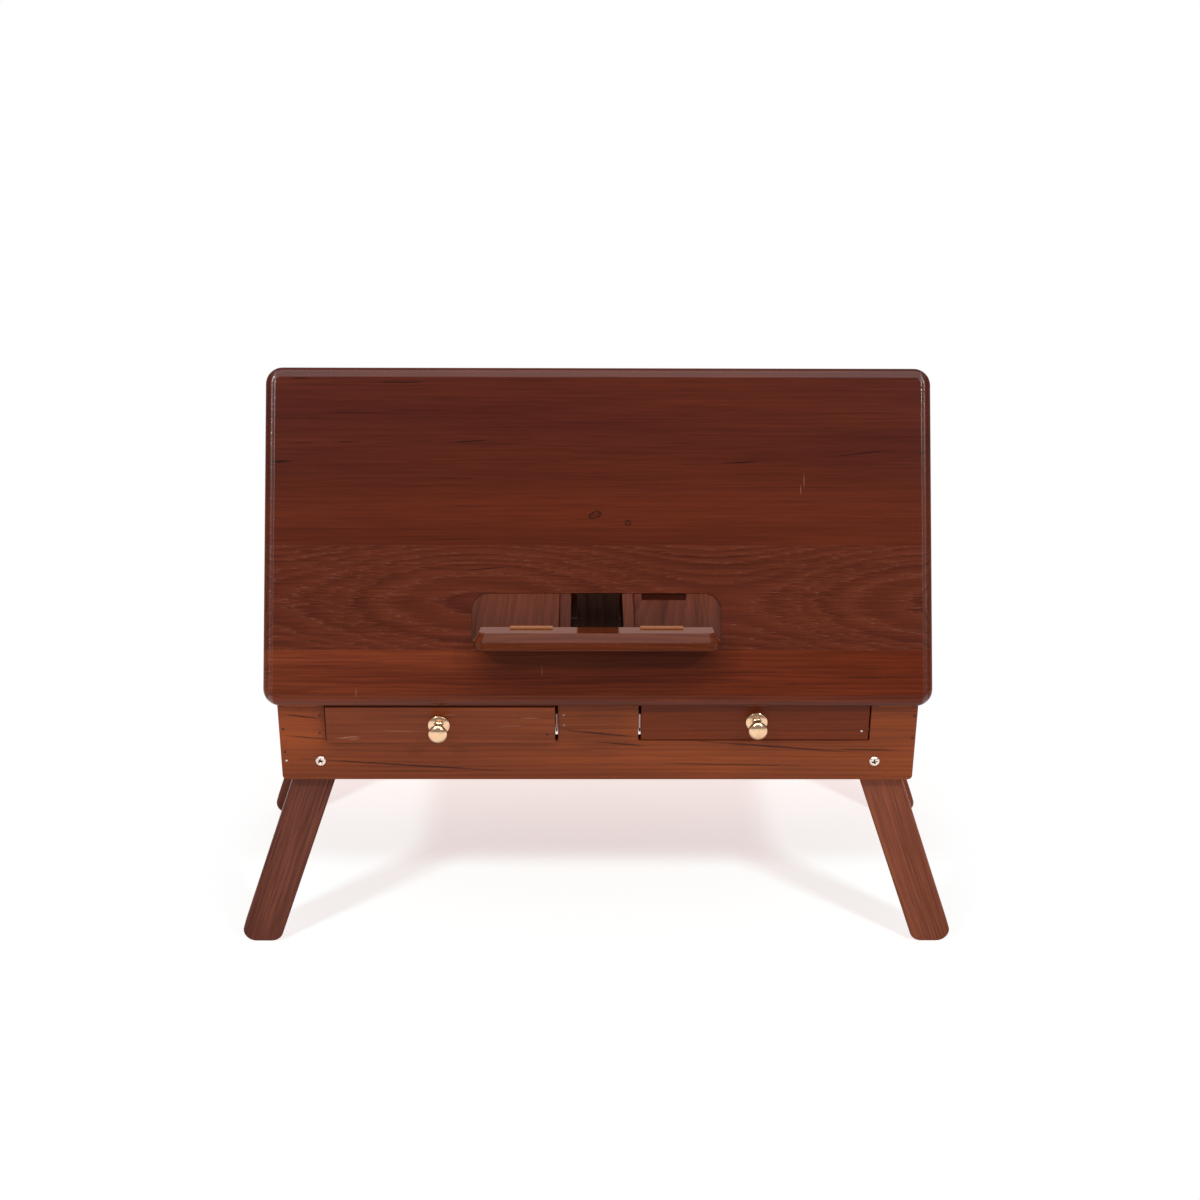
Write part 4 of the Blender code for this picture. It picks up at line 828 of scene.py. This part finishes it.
def dress_fittings():
    """Hinges of the lid and the ledge, and the prop's bracket and pin."""
    names = ("lid_hinge_lower_leaf", "lid_hinge_upper_leaf", "ledge_hinge_lid_leaf", "ledge_hinge_flap_leaf",
             "lid_hinge_pin", "ledge_hinge_pin")
    for word in SIDES:
        for name in names:
            finished(word + "_" + name, hinge_brass)
    finished("prop_bracket", hinge_brass)
    finished("prop_pin", steel)


# Nails and screws: radius and rise of their heads, then their places

NAIL, SCREW, LEDGE_SCREW = (0.0011, 0.00022), (0.0021, 0.00020), (0.0019, 0.00012)
FRONT_NAILS = ((-0.2853, 0.2432, nail_iron), (-0.2851, 0.2191, nail_iron), (-0.2843, 0.2101, steel),
               (-0.2515, 0.2573, nail_iron), (-0.2524, 0.2391, nail_iron), (-0.0312, 0.2579, grey_steel),
               (-0.0309, 0.2477, grey_steel), (0.2864, 0.2572, nail_iron), (0.2860, 0.2342, nail_iron))
DRAWER_NAILS = (("left", -0.0461, 0.2412, nail_iron), ("right", 0.2394, 0.2415, steel))
BACK_NAILS = ((-0.2852, 0.2430), (-0.2849, 0.2105), (0.2853, 0.2420), (0.2850, 0.2112))
HINGE_SCREW_IN, LEAF_GAP = 0.0082, 0.0006    # of the lid hinges: from the pin to the screws, to a leaf's face
LEDGE_SCREW_IN, LEDGE_LEAF_GAP = 0.0085, 0.0002    # of the ledge hinges, likewise
HINGE_SCREW_ASIDE, LEDGE_SCREW_ASIDE, BLOCK_SCREW_ASIDE = 0.0095, 0.0115, 0.012


def set_front_nails(nail):
    """Nail heads left showing in the front board and the drawer fronts."""
    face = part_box("front_board")[0].y
    for number, (x, z, metal) in enumerate(FRONT_NAILS, 1):
        set_head(nail, f"front_board_nail_{number}", Vector((x, face, z)), -Y, metal, "base")
    for word, x, z, metal in DRAWER_NAILS:
        spot = Vector((x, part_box(word + "_drawer_front")[0].y, z))
        set_head(nail, word + "_drawer_nail", spot, -Y, metal, word + "_drawer")


def set_back_nails(nail):
    """Nail heads in the back board."""
    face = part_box("back_board")[1].y
    for number, (x, z) in enumerate(BACK_NAILS, 1):
        set_head(nail, f"back_board_nail_{number}", Vector((x, face, z)), Y, nail_iron, "base")


def set_lid_hinge_screws(screw):
    """Screws of the lid hinges, in the box and in the lid."""
    for word in SIDES:
        for number, side in enumerate(SIDES.values(), 1):
            x = middle_of(word + "_lid_hinge_lower_leaf").x + HINGE_SCREW_ASIDE * side
            name = f"{word}_lid_hinge_lower_screw_{number}"
            spot = Vector((x, LID_PIN.y + HINGE_SCREW_IN, LID_PIN.z - LEAF_GAP))
            set_head(screw, name, spot, Z, hinge_brass, "base")
            name = f"{word}_lid_hinge_upper_screw_{number}"
            spot = Vector((x, LID_PIN.y, LID_PIN.z)) + HINGE_SCREW_IN * lid_up + LEAF_GAP * lid_out
            set_head(screw, name, spot, -lid_out, hinge_brass, "lid")


def set_ledge_hinge_screws(screw):
    """Screws of the ledge hinges, in the lid and in the flap."""
    for word in SIDES:
        leaf = frame["nodes"][word + "_ledge_hinge_flap_leaf"].data
        lip = max((vertex.co - LEDGE_PIN).dot(flap_top) for vertex in leaf.vertices)
        seats = (("lid", "lid", lid_up, -LEDGE_SCREW_IN * lid_out - LEDGE_LEAF_GAP * lid_up),
                 ("flap", "ledge", flap_top, LEDGE_SCREW_IN * flap_out + lip * flap_top))
        for part, body, outward, seat in seats:
            for number, side in enumerate(SIDES.values(), 1):
                x = middle_of(word + "_ledge_hinge_pin").x + LEDGE_SCREW_ASIDE * side
                name = f"{word}_ledge_hinge_{part}_screw_{number}"
                spot = Vector((x, LEDGE_PIN.y, LEDGE_PIN.z)) + seat
                set_head(screw, name, spot, outward, hinge_brass, body)


def set_stop_block_screws(screw):
    """Screws of the stop block, from under the lid."""
    block = frame["nodes"]["flap_stop_block"].data
    middle = middle_of("flap_stop_block")
    depth = min((vertex.co - middle).dot(lid_out) for vertex in block.vertices)
    for number, side in enumerate(SIDES.values(), 1):
        spot = middle + Vector((BLOCK_SCREW_ASIDE * side, 0, 0)) + depth * lid_out
        set_head(screw, f"stop_block_screw_{number}", spot, -lid_out, grey_steel, "lid")


def set_fastenings():
    """Every nail and screw head, from patterns that are then taken away."""
    nail = small_head("nail_pattern", *NAIL, False)
    screw = small_head("screw_pattern", *SCREW, True)
    ledge_screw = small_head("ledge_screw_pattern", *LEDGE_SCREW, True)
    set_front_nails(nail)
    set_lid_hinge_screws(screw)
    set_ledge_hinge_screws(ledge_screw)
    set_stop_block_screws(screw)
    set_back_nails(nail)
    for pattern in (nail, screw, ledge_screw):
        bpy.data.objects.remove(pattern)


dress_lid()
dress_box()
dress_drawers()
dress_legs()
dress_fittings()
set_fastenings()


# Studio

BOUNCE_FRONT, BOUNCE_BACK, BOUNCE_UNDER = (1.1, 1.1, 1.1, 1), (0.55, 0.34, 0.30, 1), (0.4, 0.38, 0.37, 1)
SHADOW_GLOW, SHADOW_BACK, SHADOW_LIT = (0.660, 0.530, 0.520, 1), (0.775, 0.590, 0.565, 1), (0.70, 1.0, 1.0, 1)
FLOOR_SIZE, FLOOR_DROP, FLOOR_ROUGHNESS = 24.0, 0.0002, 0.9
SHADOW_SCALE, SHADOW_SHIFT, SHADOW_EDGE = (2.7, 1.8, 1.0), (0, -0.12, 0), (0.72, 1.12)    # its ellipse
UNDER_SCALE, UNDER_EDGE = (2.2, 4.0, 1.0), (0.4, 1.3)    # ellipse of the floor under the desk
BOUNCE_DEPTHS, GLOW_DEPTHS = (0.1, 0.6), (0.06, 0.22)    # where the floor turns from front to back
LIGHT_AIM = (0, 0, 0.25)
KEY_ASIDE, KEY_DEPTH, KEY_HEIGHT, KEY_SIZE, KEY_POWER = 1.62, -2.02, 2.50, (0.36, 0.36), 27.5
OVERHEAD_SPOT, OVERHEAD_SIZE, OVERHEAD_POWER = (0, -0.25, 2.4), (3.0, 2.2), 60.0
ROOM = (0.28, 0.28, 0.28, 1)


def ellipse(tree, coordinates, scale, shift=(0, 0, 0)):
    """Distance from the middle of an ellipse on the floor, by its own radii."""
    sockets = {"Vector": coordinates, "Location": shift, "Scale": scale}
    around = lay(tree, "ShaderNodeMapping", sockets).outputs[0]
    return lay(tree, "ShaderNodeVectorMath", {0: around}, operation="LENGTH").outputs["Value"]


def make_floor():
    """Pale floor: plain white to the eye away from the desk, faintly warm in its shadow."""
    bpy.ops.object.select_all(action="DESELECT")
    bpy.ops.mesh.primitive_plane_add(size=FLOOR_SIZE, location=(0, 0, -FLOOR_DROP))
    floor = bpy.context.object
    floor.name = "studio_floor"
    finish, tree, shader = new_finish("white_floor")
    shader.inputs["Roughness"].default_value = FLOOR_ROUGHNESS
    shader.inputs["Specular IOR Level"].default_value = 0.0
    shader.inputs["Emission Strength"].default_value = 1.0
    coordinates = own_place(tree)
    seen = lay(tree, "ShaderNodeLightPath").outputs["Is Camera Ray"]
    depth = parts_of(tree, coordinates)[1]
    far = spread(tree, ellipse(tree, coordinates, SHADOW_SCALE, SHADOW_SHIFT), *SHADOW_EDGE)
    under = spread(tree, ellipse(tree, coordinates, UNDER_SCALE), *UNDER_EDGE, 1.0, 0.0)
    # Painted light: the floor glows though it is no lamp. To the desk it glows as bounce light, dimmer under the
    # desk as painted shade; to the camera its glow sets how deep and warm its shadow looks, lighter towards the
    # back.
    bounce = tint(tree, spread(tree, depth, *BOUNCE_DEPTHS), BOUNCE_FRONT, BOUNCE_BACK)
    bounce = tint(tree, under, bounce, BOUNCE_UNDER)
    glow = tint(tree, spread(tree, depth, *GLOW_DEPTHS), SHADOW_GLOW, SHADOW_BACK)
    glow = tint(tree, far, glow, WHITE)
    feed(tree, tint(tree, seen, bounce, glow), shader.inputs["Emission Color"])
    lit = tint(tree, far, SHADOW_LIT, BLACK)
    feed(tree, tint(tree, seen, BLACK, lit), shader.inputs["Base Color"])
    floor.data.materials.append(finish)
    return floor


def soft_box(name, spot, size, power):
    """Rectangular light that looks at the desk."""
    data = bpy.data.lights.new(name, "AREA")
    data.shape = "RECTANGLE"
    data.size, data.size_y = size
    data.energy = power
    light = bpy.data.objects.new(name, data)
    bpy.context.scene.collection.objects.link(light)
    light.location = spot
    light.rotation_euler = (Vector(LIGHT_AIM) - Vector(spot)).to_track_quat("-Z", "Y").to_euler()
    return light


def keep_off(light, piece):
    """Light that leaves one piece alone."""
    spared = bpy.data.collections.new(light.name + "_spares")
    spared.objects.link(piece)
    light.light_linking.receiver_collection = spared
    spared.collection_objects[0].light_linking.link_state = "EXCLUDE"


def light_room(floor):
    """Two key lights, an overhead light that spares the floor, and a room that is white to the eye."""
    for word, side in SIDES.items():
        soft_box(word + "_key", (side * KEY_ASIDE, KEY_DEPTH, KEY_HEIGHT), KEY_SIZE, KEY_POWER)
    keep_off(soft_box("overhead", OVERHEAD_SPOT, OVERHEAD_SIZE, OVERHEAD_POWER), floor)
    world = bpy.data.worlds.new("studio_room")
    bpy.context.scene.world = world
    world.use_nodes = True
    tree = world.node_tree
    seen = lay(tree, "ShaderNodeLightPath").outputs["Is Camera Ray"]
    room = next(node for node in tree.nodes if node.type == "BACKGROUND")
    feed(tree, tint(tree, seen, ROOM, WHITE), room.inputs["Color"])


def set_camera():
    """Camera at the photograph's place, with its lens, pitch, yaw and roll."""
    data = bpy.data.cameras.new("photo_camera")
    data.sensor_width = SENSOR
    data.lens = SENSOR * FOCAL_PIXELS / IMAGE_PIXELS
    camera = bpy.data.objects.new("photo_camera", data)
    bpy.context.scene.collection.objects.link(camera)
    level = math.cos(CAMERA_PITCH)
    ahead = Vector((-math.sin(CAMERA_YAW) * level, math.cos(CAMERA_YAW) * level, -math.sin(CAMERA_PITCH)))
    right = Vector((math.cos(CAMERA_YAW), math.sin(CAMERA_YAW), 0))
    up = right.cross(ahead)
    rolled_right = math.cos(CAMERA_ROLL) * right + math.sin(CAMERA_ROLL) * up
    rolled_up = math.cos(CAMERA_ROLL) * up - math.sin(CAMERA_ROLL) * right
    turn = Matrix((rolled_right, rolled_up, -ahead)).transposed().to_4x4()
    spot = Vector((CAMERA_X, CAMERA_FROM_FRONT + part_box("front_board")[0].y, CAMERA_Z))
    camera.matrix_world = Matrix.Translation(spot) @ turn
    bpy.context.scene.camera = camera


light_room(make_floor())
set_camera()
bpy.context.scene.view_settings.view_transform = "Standard"
